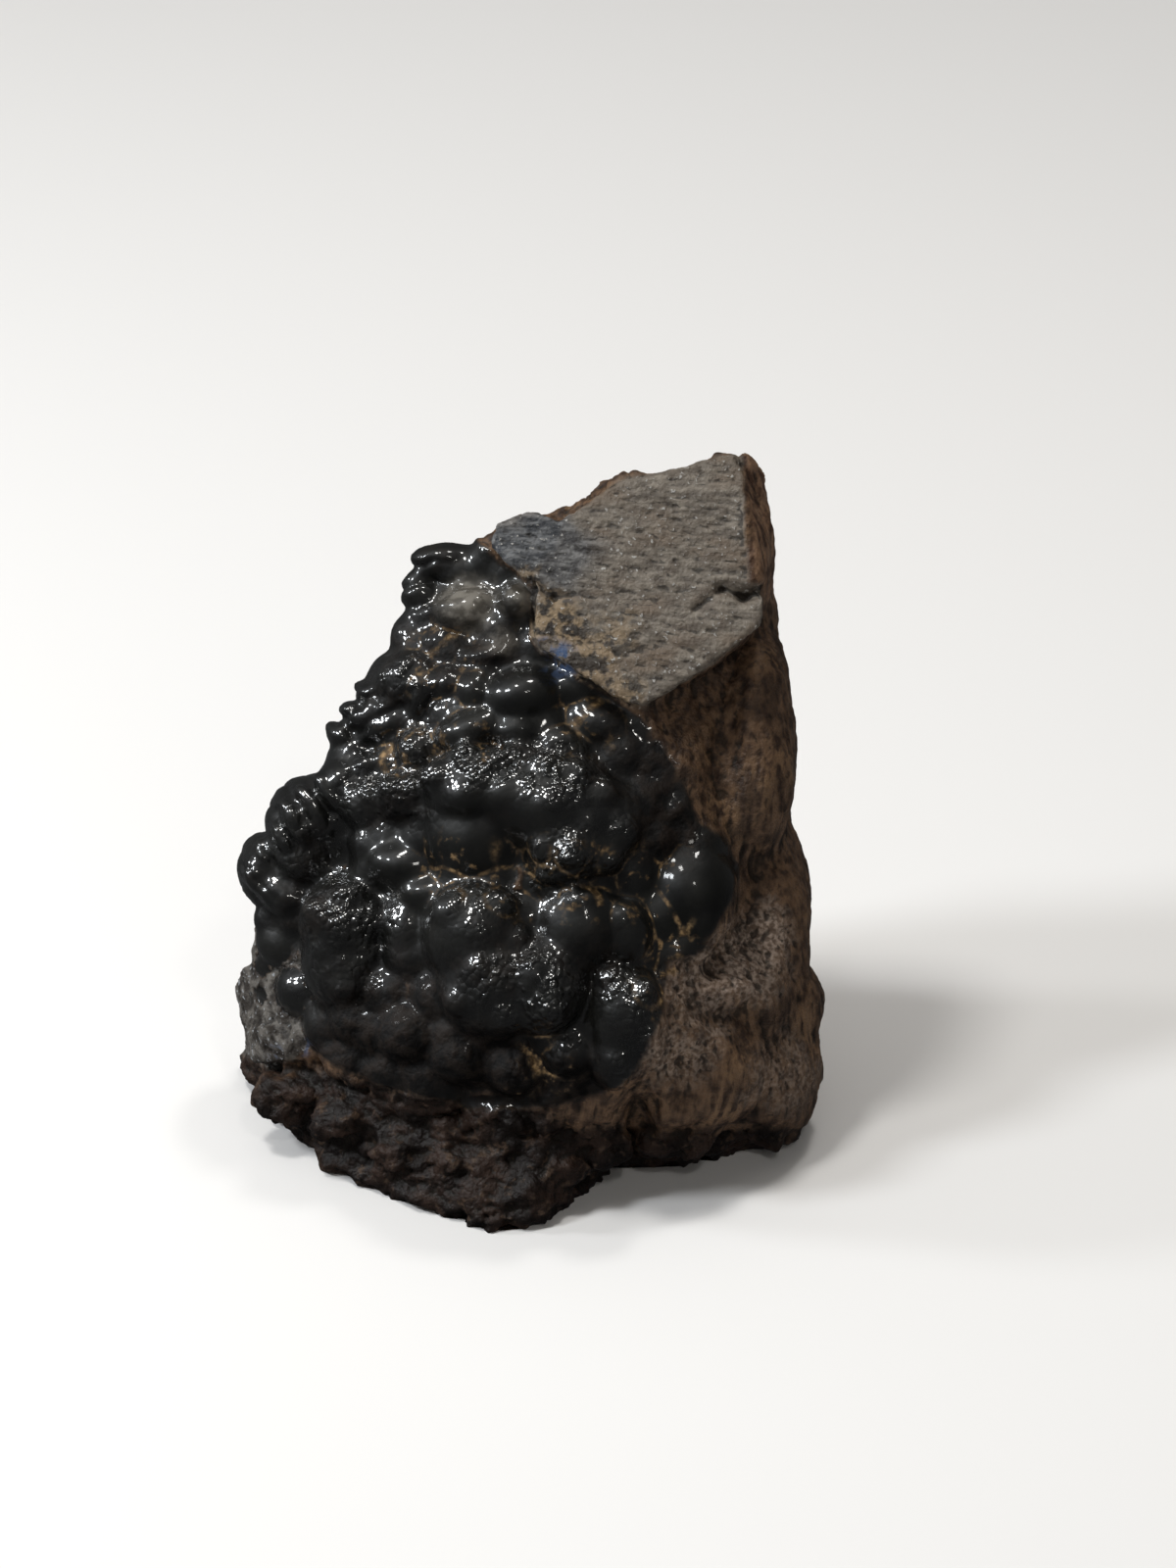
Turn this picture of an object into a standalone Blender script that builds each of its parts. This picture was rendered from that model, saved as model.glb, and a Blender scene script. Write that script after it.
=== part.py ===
"""A hand specimen of botryoidal hematite, standing on its broken underside.

The stone is one solid. A block of massive ore carries a grey broken plate at its top right,
a weathered right side, a pitted foot and a chipped patch at its left. Black grape-like lobes
cover the front and wrap round the left side.

Sizes are in millimetres. Places on the show side are given as (across, up, out), where the
show side leans back by SHOW_LEAN from the vertical: across runs to the right, up runs up the
leaning side, and out points away from the stone at right angles to it.
"""

import math
import random

import bmesh
import bpy
from mathutils import Matrix, Vector

MM = 0.001

# Driving dimensions of the specimen, in millimetres.
SHOW_LEAN = math.radians(30)
SPECIMEN_SHIFT = (-0.03, -3.28)
FOOT_EDGE = 1.3
FOOT_TAPER = 0.9
FUSE_GRAIN = 0.6
SOFTENING = 3
TRIANGLES = 10200
UNDER_FLOOR = 3.0
CUTTER_SIDE = 0.2

# Unevenness of every face of the stone, as name, size of the swells and their height.
ROUGHNESS = [("swells", 10.0, 1.0), ("knocks", 3.2, 0.35)]

# The bed that the lobes grow on is a shallow dome, highest here.
BED_TOP = (4.0, 18.0, 24.5)
BED_FALL_ACROSS = 0.0178
BED_FALL_UP = 0.0046
BED_TUCK_BELOW = 11.0
BED_TUCK = 0.045

BED_DEPTH = 9.0
BED_RINGS = 4
BED_ROOT_WIDTH = 0.8

# Every lobe reaches at least this far under the bed, and is this deep for its width and height.
LOBE_ROOT = 0.8
LOBE_FULLNESS = 0.55
SWELL_FULLNESS = 0.5

BED_OUTLINE = [
    (-9.5, 56.0),
    (-3.0, 58.0),
    (3.0, 52.0),
    (10.0, 43.5),
    (15.0, 37.0),
    (18.5, 28.0),
    (18.5, 20.0),
    (16.0, 12.0),
    (14.0, 5.5),
    (9.0, 1.5),
    (2.0, 0.5),
    (-5.0, 1.5),
    (-13.0, 3.5),
    (-19.0, 6.5),
    (-22.5, 10.5),
    (-23.5, 16.0),
    (-26.5, 22.0),
    (-26.5, 27.0),
    (-23.5, 31.5),
    (-17.0, 40.0),
    (-12.5, 49.0),
]

# Small lobes on the ground between the large ones, in staggered rows.
GROUND_SEED = 3
GROUND_ACROSS = (-29.0, 20.0)
GROUND_UP = (2.5, 58.0)
GROUND_STEP = 4.4
GROUND_ROW_STEP = 3.83
GROUND_SCATTER = 0.8
GROUND_SIZES = (2.6, 3.6)
GROUND_SQUASH = (0.8, 1.15)
GROUND_CROWN = 0.8

CHIP_DEPTH = 8.0
CHIP_ROOT_WIDTH = 0.86

# Knobs on the ledge of the foot, as place and radii.
FOOT_LUMPS = [
    ((-24.6, 2.6, 7.0), (4.0, 2.6, 3.4)),
    ((-18.6, 0.4, 11.0), (4.0, 2.4, 3.0)),
    ((-13.0, -2.6, 13.2), (3.4, 2.2, 2.8)),
    ((-3.0, -6.6, 14.4), (5.6, 2.4, 3.4)),
    ((-7.6, -3.6, 15.6), (3.0, 1.8, 2.6)),
    ((2.6, -4.0, 15.6), (3.2, 2.2, 2.8)),
    ((7.2, -1.8, 14.6), (3.2, 2.4, 2.8)),
    ((15.0, -1.0, 12.4), (4.6, 2.4, 3.0)),
]

# Left outline of the show side, as (across, up), and the crust that wraps round behind it.
LEFT_EDGE = [(-29.0, 8.0), (-29.2, 27.0), (-18.2, 41.0), (-13.4, 52.0), (-11.5, 58.0)]
FLANK_SEED = 11
FLANK_ROWS = 9
FLANK_FOOT = 13.0
FLANK_STEP = 4.4
FLANK_BACK = 17.0
FLANK_BACK_SCATTER = 3.0
FLANK_INSET = 0.8
FLANK_FRONT_SLOPE = 0.17
FLANK_TAPER = 0.24
FLANK_SIZES = (2.1, 3.4)
FLANK_WIDTH = 1.15
FLANK_SPACING = 1.35
FLANK_SCATTER = 1.0

# Broken plate: its face tilts a little up and to the left.
PLATE_CENTRE = (12.0, 50.0, 24.5)
PLATE_RISE_ACROSS = 0.10
PLATE_RISE_UP = -0.16
PLATE_THICKNESS = 9.0
PEAK_SETBACK = 8.0


def on_show_side(across, up, out):
    """The point in the specimen's own upright axes, in millimetres."""
    lean_sin = math.sin(SHOW_LEAN)
    lean_cos = math.cos(SHOW_LEAN)
    return Vector((across, up * lean_sin - out * lean_cos, up * lean_cos + out * lean_sin))


def bed_height(across, up):
    """How far out the bed under the lobes stands."""
    fall_across = BED_FALL_ACROSS * (across - BED_TOP[0]) ** 2
    fall_up = BED_FALL_UP * (up - BED_TOP[1]) ** 2
    tuck = BED_TUCK * max(0.0, BED_TUCK_BELOW - up) ** 2
    return BED_TOP[2] - fall_across - fall_up - tuck


def plate_height(across, up):
    """How far out the face of the broken plate stands."""
    return (
        PLATE_CENTRE[2]
        + PLATE_RISE_ACROSS * (across - PLATE_CENTRE[0])
        + PLATE_RISE_UP * (up - PLATE_CENTRE[1])
    )


def clear_scene():
    for obj in list(bpy.data.objects):
        bpy.data.objects.remove(obj)


def add_hull(bm, points):
    """A convex block of rock through its corner points."""
    verts = [bm.verts.new(point) for point in points]
    made = bmesh.ops.convex_hull(bm, input=verts)
    inside = [v for v in made["geom_interior"] if isinstance(v, bmesh.types.BMVert)]
    bmesh.ops.delete(bm, geom=inside, context="VERTS")


def add_lump(bm, centre, radii, turn=0.0):
    """A rounded lump: an ellipsoid whose axes lie across, up and out of the show side."""
    tip = Matrix.Rotation(math.pi / 2 - SHOW_LEAN, 4, "X")
    spin = Matrix.Rotation(turn, 4, "Z")
    stretch = Matrix.Diagonal((*radii, 1.0))
    matrix = Matrix.Translation(centre) @ tip @ spin @ stretch
    bmesh.ops.create_icosphere(bm, subdivisions=3, radius=1.0, matrix=matrix)


def add_core(bm):
    """The block of massive ore that everything else grows on."""
    front = [
        (11.5, 41.5, 22.5),
        (16.5, 33.7, 22.0),
        (21.0, 26.7, 18.5),
        (15.0, 13.7, 21.0),
        (2.0, 9.7, 18.0),
        (-6.0, 14.7, 19.0),
        (-19.0, 18.7, 13.0),
        (-25.0, 18.7, 5.0),
        (-27.5, 8.7, 2.0),
        (-21.0, 32.0, 5.0),
        (-12.0, 44.0, 11.0),
        (-9.5, 54.0, 10.0),
        (-4.0, 57.0, 15.0),
        (26.5, 41.0, 6.0),
        (26.0, 33.0, 5.0),
        (28.0, 21.7, 3.0),
        (28.6, 8.0, 2.0),
        (24.9, 60.0, 13.0),
    ]
    back = [
        (-25.5, 16.0, -UNDER_FLOOR),
        (-25.0, 17.5, 14.0),
        (-19.0, 24.0, 24.0),
        (-12.0, 21.0, 47.0),
        (-4.0, 19.5, 54.0),
        (8.0, 22.0, 58.5),
        (22.5, 20.0, 58.0),
        (26.5, 17.5, 34.0),
        (15.0, 26.5, 37.0),
        (3.0, 28.0, 21.0),
        (-6.0, 27.5, 8.0),
        (5.0, 24.0, -UNDER_FLOOR),
        (19.0, 24.5, 6.0),
        (27.0, 18.0, -UNDER_FLOOR),
        (-24.0, -2.0, -UNDER_FLOOR),
        (20.0, -6.0, -UNDER_FLOOR),
        (28.0, 4.0, -UNDER_FLOOR),
    ]
    add_hull(bm, [on_show_side(*p) for p in front] + [Vector(p) for p in back])


def add_bed(bm):
    """The shallow dome under the lobes. It is convex, so the hull of points on it is the dome."""
    points = []
    for across, up in BED_OUTLINE:
        for ring in range(BED_RINGS + 1):
            share = ring / BED_RINGS
            a = BED_TOP[0] + share * (across - BED_TOP[0])
            u = BED_TOP[1] + share * (up - BED_TOP[1])
            points.append(on_show_side(a, u, bed_height(a, u)))
        root_out = bed_height(across, up) - BED_DEPTH
        points.append(on_show_side(BED_ROOT_WIDTH * across, up, root_out))
    add_hull(bm, points)


def add_plate(bm):
    """The broken plate at the top right, its spur at the upper left and the peak behind it."""
    face = [
        (2.6, 60.6),
        (9.2, 65.0),
        (15.0, 66.5),
        (20.7, 67.9),
        (21.7, 65.7),
        (21.8, 60.7),
        (22.5, 55.7),
        (23.8, 54.2),
        (23.2, 50.7),
        (17.5, 46.2),
        (13.2, 43.4),
        (11.5, 42.5),
        (10.0, 42.8),
        (6.0, 45.2),
        (1.5, 48.2),
        (0.5, 49.7),
        (0.8, 53.7),
    ]
    spur = [(-3.8, 58.6), (-3.0, 60.9), (0.5, 62.2), (3.0, 60.9), (5.0, 56.0), (1.0, 54.0)]
    for outline in (face, spur):
        lid = [on_show_side(a, u, plate_height(a, u)) for a, u in outline]
        rear = [on_show_side(a, u, plate_height(a, u) - PLATE_THICKNESS) for a, u in outline]
        add_hull(bm, lid + rear)
    peak_back = [
        (-7.0, 20.0, 48.0),
        (4.0, 21.5, 55.5),
        (15.0, 20.0, 62.0),
        (23.4, 19.0, 60.0),
        (24.5, 22.0, 40.0),
        (0.0, 23.0, 40.0),
    ]
    root = [on_show_side(a, u, plate_height(a, u) - PEAK_SETBACK) for a, u in face + spur]
    add_hull(bm, root + [Vector(p) for p in peak_back])


def add_top_edge(bm):
    """The weathered strip down the right of the plate."""
    strip = [
        (21.0, 67.8, 21.5),
        (22.5, 67.3, 19.5),
        (24.6, 66.4, 16.0),
        (25.4, 63.0, 13.0),
        (25.3, 56.0, 13.0),
        (24.6, 53.5, 15.0),
        (22.0, 60.0, 22.6),
        (23.6, 54.5, 23.0),
        (12.0, 64.0, 10.0),
        (12.0, 50.0, 10.0),
    ]
    add_hull(bm, [on_show_side(*p) for p in strip])


def add_foot(bm):
    """The pitted ledge along the bottom of the front, and the blunt toe in the middle of it."""
    left_rim = [
        (-27.0, 17.0),
        (-30.4, 9.5),
        (-29.7, 5.0),
        (-27.4, 0.6),
        (-25.0, -2.8),
        (-21.0, -10.8),
        (-14.0, -15.4),
        (-8.0, -19.2),
        (-4.2, -21.4),
        (0.6, -20.8),
        (4.2, -17.0),
        (9.0, -9.2),
    ]
    right_rim = [
        (4.0, -9.4),
        (9.5, -8.7),
        (14.0, -9.4),
        (20.0, -8.2),
        (24.6, -4.2),
        (29.2, 1.2),
        (30.4, 8.0),
        (28.5, 17.0),
    ]
    left_ledge = [
        (-29.0, 10.5, 1.0),
        (-27.4, 8.0, 5.0),
        (-20.0, 4.5, 12.0),
        (-10.0, 0.8, 16.5),
        (-2.0, -1.5, 18.5),
        (6.0, -0.5, 18.0),
    ]
    right_ledge = [
        (4.0, 2.0, 17.0),
        (16.0, 4.0, 17.0),
        (24.0, 8.0, 9.0),
        (30.0, 9.0, 0.5),
    ]
    for rim, ledge in ((left_rim, left_ledge), (right_rim, right_ledge)):
        edge = [Vector((x, y, FOOT_EDGE)) for x, y in rim]
        sole = [Vector((FOOT_TAPER * x, FOOT_TAPER * y, -UNDER_FLOOR)) for x, y in rim]
        add_hull(bm, edge + sole + [on_show_side(*p) for p in ledge])
    for place, radii in FOOT_LUMPS:
        add_lump(bm, on_show_side(*place), radii)


def add_side_lumps(bm):
    """The worn bulges down the right side and at its foot."""
    lumps = [
        ((23.0, 5.4, 5.0), (7.3, 8.6, 9.0)),
        ((24.4, 12.0, 5.5), (5.8, 6.0, 7.6)),
        ((16.5, 7.0, 12.5), (8.0, 8.0, 7.5)),
        ((20.5, 13.0, 11.0), (6.6, 6.6, 6.6)),
        ((22.6, 17.0, 8.4), (6.0, 6.6, 6.4)),
        ((17.0, 14.0, 17.3), (6.0, 2.4, 4.0)),
        ((24.3, 23.0, 4.0), (4.9, 10.0, 11.0)),
        ((22.3, 38.0, 12.0), (5.0, 12.0, 8.5)),
        ((23.2, 44.0, 12.0), (3.6, 7.0, 7.5)),
        ((1.6, 6.6, 17.6), (3.4, 2.6, 3.4)),
        ((3.4, 2.8, 17.0), (3.0, 2.6, 3.2)),
        ((7.4, 1.4, 16.4), (2.8, 2.2, 3.0)),
        ((-3.0, 1.2, 17.0), (3.6, 2.2, 3.0)),
        ((13.4, 5.6, 17.4), (2.8, 3.0, 3.6)),
        ((14.8, 2.0, 16.2), (3.0, 2.4, 3.0)),
        ((18.6, 8.4, 15.0), (3.4, 2.6, 3.0)),
        ((19.0, 15.6, 15.6), (3.2, 2.2, 2.6)),
    ]
    for place, radii in lumps:
        add_lump(bm, on_show_side(*place), radii)


def add_chip(bm):
    """The chipped patch at the left, where the crust has come away and angular ore shows."""
    face = [
        (-30.9, 13.2, 0.0),
        (-30.0, 15.4, 3.5),
        (-27.0, 17.6, 8.0),
        (-23.2, 16.6, 10.6),
        (-22.2, 12.0, 11.2),
        (-23.0, 8.5, 11.0),
        (-26.0, 6.4, 8.6),
        (-29.4, 7.6, 4.0),
    ]
    shard = [
        (-29.4, 9.6, 4.6),
        (-27.2, 9.8, 9.4),
        (-24.6, 8.0, 10.6),
        (-24.8, 5.6, 9.4),
        (-28.8, 6.0, 4.6),
    ]
    corner = [
        (-24.6, 9.6, 10.4),
        (-22.0, 10.0, 11.8),
        (-20.6, 8.2, 12.0),
        (-21.6, 6.4, 10.8),
        (-24.4, 6.6, 9.6),
    ]
    upper_edge = [
        (-29.0, 15.0, 4.0),
        (-28.6, 20.4, 5.0),
        (-25.6, 21.0, 8.0),
        (-24.0, 16.0, 9.6),
    ]
    for block in (face, shard, corner, upper_edge):
        root = [on_show_side(CHIP_ROOT_WIDTH * a, u, o - CHIP_DEPTH) for a, u, o in block]
        add_hull(bm, [on_show_side(*p) for p in block] + root)


def left_edge(up):
    """How far left the outline of the show side reaches at this height."""
    for lower, upper in zip(LEFT_EDGE, LEFT_EDGE[1:]):
        if up <= upper[1]:
            share = max(0.0, (up - lower[1]) / (upper[1] - lower[1]))
            return lower[0] + share * (upper[0] - lower[0])
    return LEFT_EDGE[-1][0]


def add_flank_lobes(bm):
    """The crust carried on round the left side, in rows that thin out towards the back."""
    dice = random.Random(FLANK_SEED)
    for row in range(FLANK_ROWS):
        height = FLANK_FOOT + row * FLANK_STEP
        back = FLANK_BACK + dice.uniform(-FLANK_BACK_SCATTER, FLANK_BACK_SCATTER)
        place = FLANK_FRONT_SLOPE * height
        while place < back:
            size = dice.uniform(*FLANK_SIZES)
            width = FLANK_WIDTH * size
            level = height + dice.uniform(-FLANK_SCATTER, FLANK_SCATTER)
            up = place * math.sin(SHOW_LEAN) + level * math.cos(SHOW_LEAN)
            behind = place - FLANK_FRONT_SLOPE * height
            side = left_edge(up) + FLANK_INSET + width + FLANK_TAPER * behind
            add_lump(bm, Vector((side, place, level)), (width, size, size))
            place += FLANK_SPACING * size


# Lobes of the front, as (across, up, half width, half height, crown above the bed, turn in degrees).
LOBES = {
    "top left": [
        (-8.4, 57.4, 3.5, 1.9, 2.0, 0),
        (-11.0, 54.0, 2.0, 2.5, 1.4, 0),
        (-6.2, 52.4, 3.9, 2.4, 2.6, 8),
        (-12.0, 49.4, 2.3, 2.8, 1.0, 0),
        (-8.6, 49.0, 2.6, 2.2, 1.2, 0),
        (-2.6, 50.3, 2.8, 2.5, 1.2, 0),
        (-4.2, 57.4, 2.2, 2.4, 1.4, 0),
        (-3.6, 58.6, 2.2, 1.9, 2.2, 0),
        (-1.2, 53.2, 2.1, 2.0, 3.9, 0),
        (-3.6, 47.7, 3.9, 1.3, 1.2, 4),
    ],
    "upper left": [
        (-14.0, 44.2, 2.0, 3.1, 3.0, 6),
        (-11.2, 44.0, 1.6, 3.0, 3.2, -4),
        (-15.6, 43.4, 2.7, 1.2, 2.4, -36),
        (-16.9, 41.2, 2.8, 1.2, 2.5, -34),
        (-18.4, 39.0, 3.0, 1.5, 2.2, -38),
        (-13.6, 40.6, 2.6, 2.0, 1.2, 0),
        (-8.2, 44.8, 2.4, 2.0, 2.2, 0),
        (-5.4, 44.0, 2.2, 2.4, 2.0, 0),
        (-7.4, 42.2, 3.0, 2.0, 1.4, 20),
        (-0.4, 43.6, 4.2, 3.0, 2.8, 8),
        (4.4, 44.4, 3.4, 2.6, 1.2, 0),
        (-5.6, 40.2, 4.0, 2.2, 2.8, 16),
        (-1.0, 40.0, 3.0, 2.0, 1.8, 0),
        (-11.2, 38.0, 2.5, 2.5, 2.6, 0),
        (-13.6, 36.8, 1.7, 1.7, 1.4, 0),
        (-16.4, 36.6, 2.1, 1.6, 1.8, 0),
    ],
    "upper right": [
        (7.4, 40.6, 3.8, 2.7, 1.4, -12),
        (9.4, 38.0, 3.0, 2.4, 1.1, 0),
        (3.0, 38.8, 2.6, 1.9, 1.4, 0),
        (12.2, 36.8, 3.2, 3.4, 0.8, 30),
        (11.6, 33.2, 3.4, 3.0, 0.8, 0),
        (14.6, 32.0, 3.6, 2.9, 0.9, 20),
    ],
    "great dome": [
        (-4.8, 34.4, 6.0, 4.2, 4.6, 4),
        (2.0, 32.6, 8.6, 5.8, 4.6, -8),
        (7.0, 30.4, 5.4, 5.6, 2.8, -14),
        (4.2, 28.6, 5.0, 4.6, 3.8, 0),
        (-4.6, 29.4, 5.8, 5.4, 2.2, 0),
        (-8.8, 30.4, 1.8, 4.8, 2.9, 0),
        (-3.7, 29.2, 1.0, 4.4, 3.3, 0),
    ],
    "shoulder": [
        (-12.2, 33.4, 3.4, 3.0, 3.0, 0),
        (-16.0, 32.8, 3.4, 2.8, 2.6, 0),
        (-12.0, 26.4, 4.6, 2.9, 1.6, -8),
        (-15.6, 28.4, 2.6, 2.6, 1.2, 0),
    ],
    "left": [
        (-22.0, 31.0, 5.0, 4.8, 4.4, 0),
        (-19.0, 35.2, 2.6, 2.4, 3.8, 0),
        (-22.6, 27.4, 3.8, 3.2, 4.0, 0),
        (-27.0, 25.8, 3.0, 4.0, 4.8, 6),
        (-24.4, 23.2, 3.0, 2.6, 3.2, 0),
    ],
    "lower": [
        (-18.6, 20.6, 4.9, 4.9, 4.8, 0),
        (-18.8, 16.8, 4.4, 5.6, 4.2, 0),
        (-12.2, 19.8, 2.6, 4.8, 1.4, 0),
        (-9.6, 23.8, 3.6, 2.0, 1.2, 0),
        (-5.2, 19.6, 5.6, 5.8, 4.6, 0),
        (-3.4, 15.2, 6.0, 6.6, 4.4, 0),
        (1.6, 14.6, 4.6, 5.4, 4.0, 0),
        (5.2, 20.6, 5.0, 5.2, 2.9, 0),
        (9.8, 19.8, 2.7, 3.6, 2.4, 0),
        (9.8, 11.6, 4.0, 5.4, 4.0, 0),
        (12.0, 10.0, 2.4, 4.6, 3.6, 0),
        (9.2, 8.0, 3.2, 4.4, 3.2, -8),
        (16.3, 23.8, 5.0, 5.8, 2.5, 0),
    ],
    "under": [
        (-17.2, 11.0, 3.4, 3.0, 1.6, 0),
        (-11.8, 9.6, 3.6, 3.2, 1.8, 0),
        (-6.6, 7.4, 3.4, 3.0, 1.8, 0),
        (-13.8, 5.6, 3.0, 2.2, 1.2, 0),
        (-1.4, 6.4, 3.2, 3.0, 1.6, 0),
        (4.2, 8.0, 3.0, 3.0, 1.6, 0),
        (2.6, 3.4, 2.6, 2.0, 1.2, 0),
        (7.4, 3.6, 2.6, 2.2, 1.2, 0),
        (-8.6, 3.6, 2.6, 1.8, 1.0, 0),
        (-19.0, 7.2, 2.4, 2.0, 1.0, 0),
    ],
}

# Low swells on the lobes, as (across, up, half width, half height, rise above the lobe, turn).
SWELLS = [
    (-8.8, 35.4, 2.2, 1.8, 0.5, 0),
    (-6.2, 37.2, 1.9, 1.6, 0.6, 0),
    (-3.6, 36.6, 2.0, 1.7, 0.5, 0),
    (-1.0, 37.3, 1.9, 1.5, 0.6, 0),
    (1.6, 36.2, 2.2, 1.8, 0.5, 0),
    (4.4, 35.6, 2.2, 1.8, 0.5, 0),
    (7.2, 33.6, 2.0, 1.8, 0.5, 0),
    (-6.2, 33.4, 2.4, 2.0, 0.4, 0),
    (-2.0, 33.6, 2.4, 2.2, 0.4, 0),
    (2.0, 32.6, 2.6, 2.4, 0.5, 0),
    (5.6, 31.0, 2.6, 2.4, 0.4, 0),
    (9.2, 30.0, 2.0, 2.2, 0.5, 0),
    (1.6, 28.4, 1.6, 1.8, 0.6, 0),
    (4.4, 27.8, 1.9, 1.9, 0.7, 0),
    (3.0, 25.8, 2.4, 1.3, 0.5, 0),
    (7.6, 27.4, 2.0, 1.8, 0.5, 0),
    (-21.2, 21.6, 1.8, 1.8, 0.4, 0),
    (-18.4, 23.2, 2.2, 1.6, 0.5, 0),
    (-15.8, 21.4, 1.7, 2.0, 0.4, 0),
    (-20.2, 18.0, 2.0, 1.9, 0.4, 0),
    (-16.6, 17.6, 1.8, 2.0, 0.5, 0),
    (-18.6, 14.6, 2.2, 1.7, 0.4, 0),
    (-7.4, 21.8, 2.4, 2.4, 0.3, 0),
    (-3.2, 22.4, 2.2, 1.8, 0.4, 0),
    (-1.4, 19.0, 2.0, 2.2, 0.5, 0),
    (-4.8, 16.4, 2.2, 2.2, 0.4, 0),
    (0.6, 15.8, 1.8, 2.2, 0.6, 0),
    (2.4, 12.6, 1.8, 2.0, 0.6, 0),
    (-2.0, 11.8, 2.2, 1.8, 0.5, 0),
    (-6.6, 13.2, 2.0, 1.8, 0.4, 0),
    (5.0, 22.8, 2.6, 1.8, 0.3, 0),
    (9.4, 21.0, 1.8, 2.0, 0.4, 0),
    (8.6, 15.2, 1.8, 1.5, 0.4, 0),
    (11.4, 13.6, 1.7, 1.9, 0.5, 0),
    (12.4, 9.4, 1.5, 2.0, 0.5, 0),
    (9.0, 7.4, 1.8, 1.8, 0.4, 0),
    (17.4, 21.2, 2.2, 2.6, 0.3, 0),
    (-20.2, 34.0, 1.0, 2.4, 1.2, 38),
    (-21.8, 32.4, 1.0, 3.0, 1.3, 36),
    (-23.6, 30.9, 1.0, 2.9, 1.3, 30),
    (-25.0, 29.2, 0.9, 2.2, 1.1, 26),
    (-20.2, 30.6, 1.2, 1.8, 0.6, 30),
    (-22.2, 28.2, 1.3, 1.6, 0.5, 20),
    (-27.0, 27.4, 0.9, 2.0, 1.0, 24),
    (-28.2, 25.4, 0.9, 1.8, 1.0, 20),
    (-26.2, 23.8, 1.3, 1.4, 0.5, 0),
    (-13.8, 34.2, 1.4, 1.6, 0.6, 0),
    (-11.4, 34.4, 1.4, 1.6, 0.6, 0),
    (-10.4, 32.0, 1.3, 1.5, 0.5, 0),
    (-16.0, 33.8, 1.4, 1.5, 0.6, 0),
]


def height_over(lobes, across, up):
    """How far out the bed and the lobes that grow on it stand at a place."""
    highest = bed_height(across, up)
    for middle_across, middle_up, half_wide, half_high, half_deep, out, turn in lobes:
        da = across - middle_across
        du = up - middle_up
        along = (da * math.cos(turn) + du * math.sin(turn)) / half_wide
        aside = (du * math.cos(turn) - da * math.sin(turn)) / half_high
        left = 1.0 - along**2 - aside**2
        if left > 0.0:
            highest = max(highest, out + half_deep * math.sqrt(left))
    return highest


def placed_lobes():
    """Every lobe as (across, up, half width, half height, half depth, out, turn)."""
    lobes = []
    for rows in LOBES.values():
        for across, up, half_wide, half_high, crown, turn in rows:
            half_deep = max(LOBE_FULLNESS * (half_wide + half_high), crown + LOBE_ROOT)
            out = bed_height(across, up) + crown - half_deep
            lobes.append((across, up, half_wide, half_high, half_deep, out, math.radians(turn)))
    swells = []
    for across, up, half_wide, half_high, rise, turn in SWELLS:
        half_deep = SWELL_FULLNESS * (half_wide + half_high)
        out = height_over(lobes, across, up) + rise - half_deep
        swells.append((across, up, half_wide, half_high, half_deep, out, math.radians(turn)))
    return lobes + swells


def add_lobes(bm):
    """The grape-like lobes of the front and the low swells on them."""
    for across, up, half_wide, half_high, half_deep, out, turn in placed_lobes():
        add_lump(bm, on_show_side(across, up, out), (half_wide, half_high, half_deep), turn)


def inside(outline, across, up):
    """Whether the place lies within the outline, counting how often its right side is crossed."""
    crossings = 0
    for (a1, u1), (a2, u2) in zip(outline, outline[1:] + outline[:1]):
        if (u1 > up) != (u2 > up) and across < a1 + (up - u1) * (a2 - a1) / (u2 - u1):
            crossings += 1
    return crossings % 2 == 1


def add_ground_lobes(bm):
    """The close crust of small lobes that covers the bed between the large ones."""
    dice = random.Random(GROUND_SEED)
    first, last = GROUND_ACROSS
    lowest, highest = GROUND_UP
    for row in range(int((highest - lowest) / GROUND_ROW_STEP) + 1):
        up = lowest + row * GROUND_ROW_STEP
        across = first + 0.5 * GROUND_STEP * (row % 2)
        while across < last:
            a = across + dice.uniform(-GROUND_SCATTER, GROUND_SCATTER)
            u = up + dice.uniform(-GROUND_SCATTER, GROUND_SCATTER)
            size = dice.uniform(*GROUND_SIZES)
            tall = size * dice.uniform(*GROUND_SQUASH)
            if inside(BED_OUTLINE, a, u):
                out = bed_height(a, u) + GROUND_CROWN - size
                add_lump(bm, on_show_side(a, u, out), (size, tall, size))
            across += GROUND_STEP


def specimen_mesh():
    bm = bmesh.new()
    add_core(bm)
    add_bed(bm)
    add_plate(bm)
    add_top_edge(bm)
    add_foot(bm)
    add_side_lumps(bm)
    add_chip(bm)
    add_flank_lobes(bm)
    add_ground_lobes(bm)
    add_lobes(bm)
    bmesh.ops.triangulate(bm, faces=bm.faces)
    shift = Vector((*SPECIMEN_SHIFT, 0.0))
    bmesh.ops.translate(bm, verts=bm.verts, vec=shift)
    bmesh.ops.scale(bm, verts=bm.verts, vec=(MM, MM, MM))
    bmesh.ops.recalc_face_normals(bm, faces=bm.faces)
    mesh = bpy.data.meshes.new("hematite")
    bm.to_mesh(mesh)
    bm.free()
    return mesh


def floor_cutter():
    """Everything under the stone, cut away so that it stands on a flat broken face."""
    bpy.ops.mesh.primitive_cube_add(size=CUTTER_SIDE, location=(0.0, 0.0, -0.5 * CUTTER_SIDE))
    cutter = bpy.context.object
    cutter.name = "underside_cutter"
    cutter.display_type = "WIRE"
    cutter.hide_render = True
    return cutter


def hematite_material():
    material = bpy.data.materials.new("hematite")
    material.use_nodes = True
    shader = material.node_tree.nodes["Principled BSDF"]
    shader.inputs["Base Color"].default_value = (0.035, 0.032, 0.030, 1.0)
    shader.inputs["Roughness"].default_value = 0.35
    shader.inputs["Metallic"].default_value = 0.4
    return material


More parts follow.
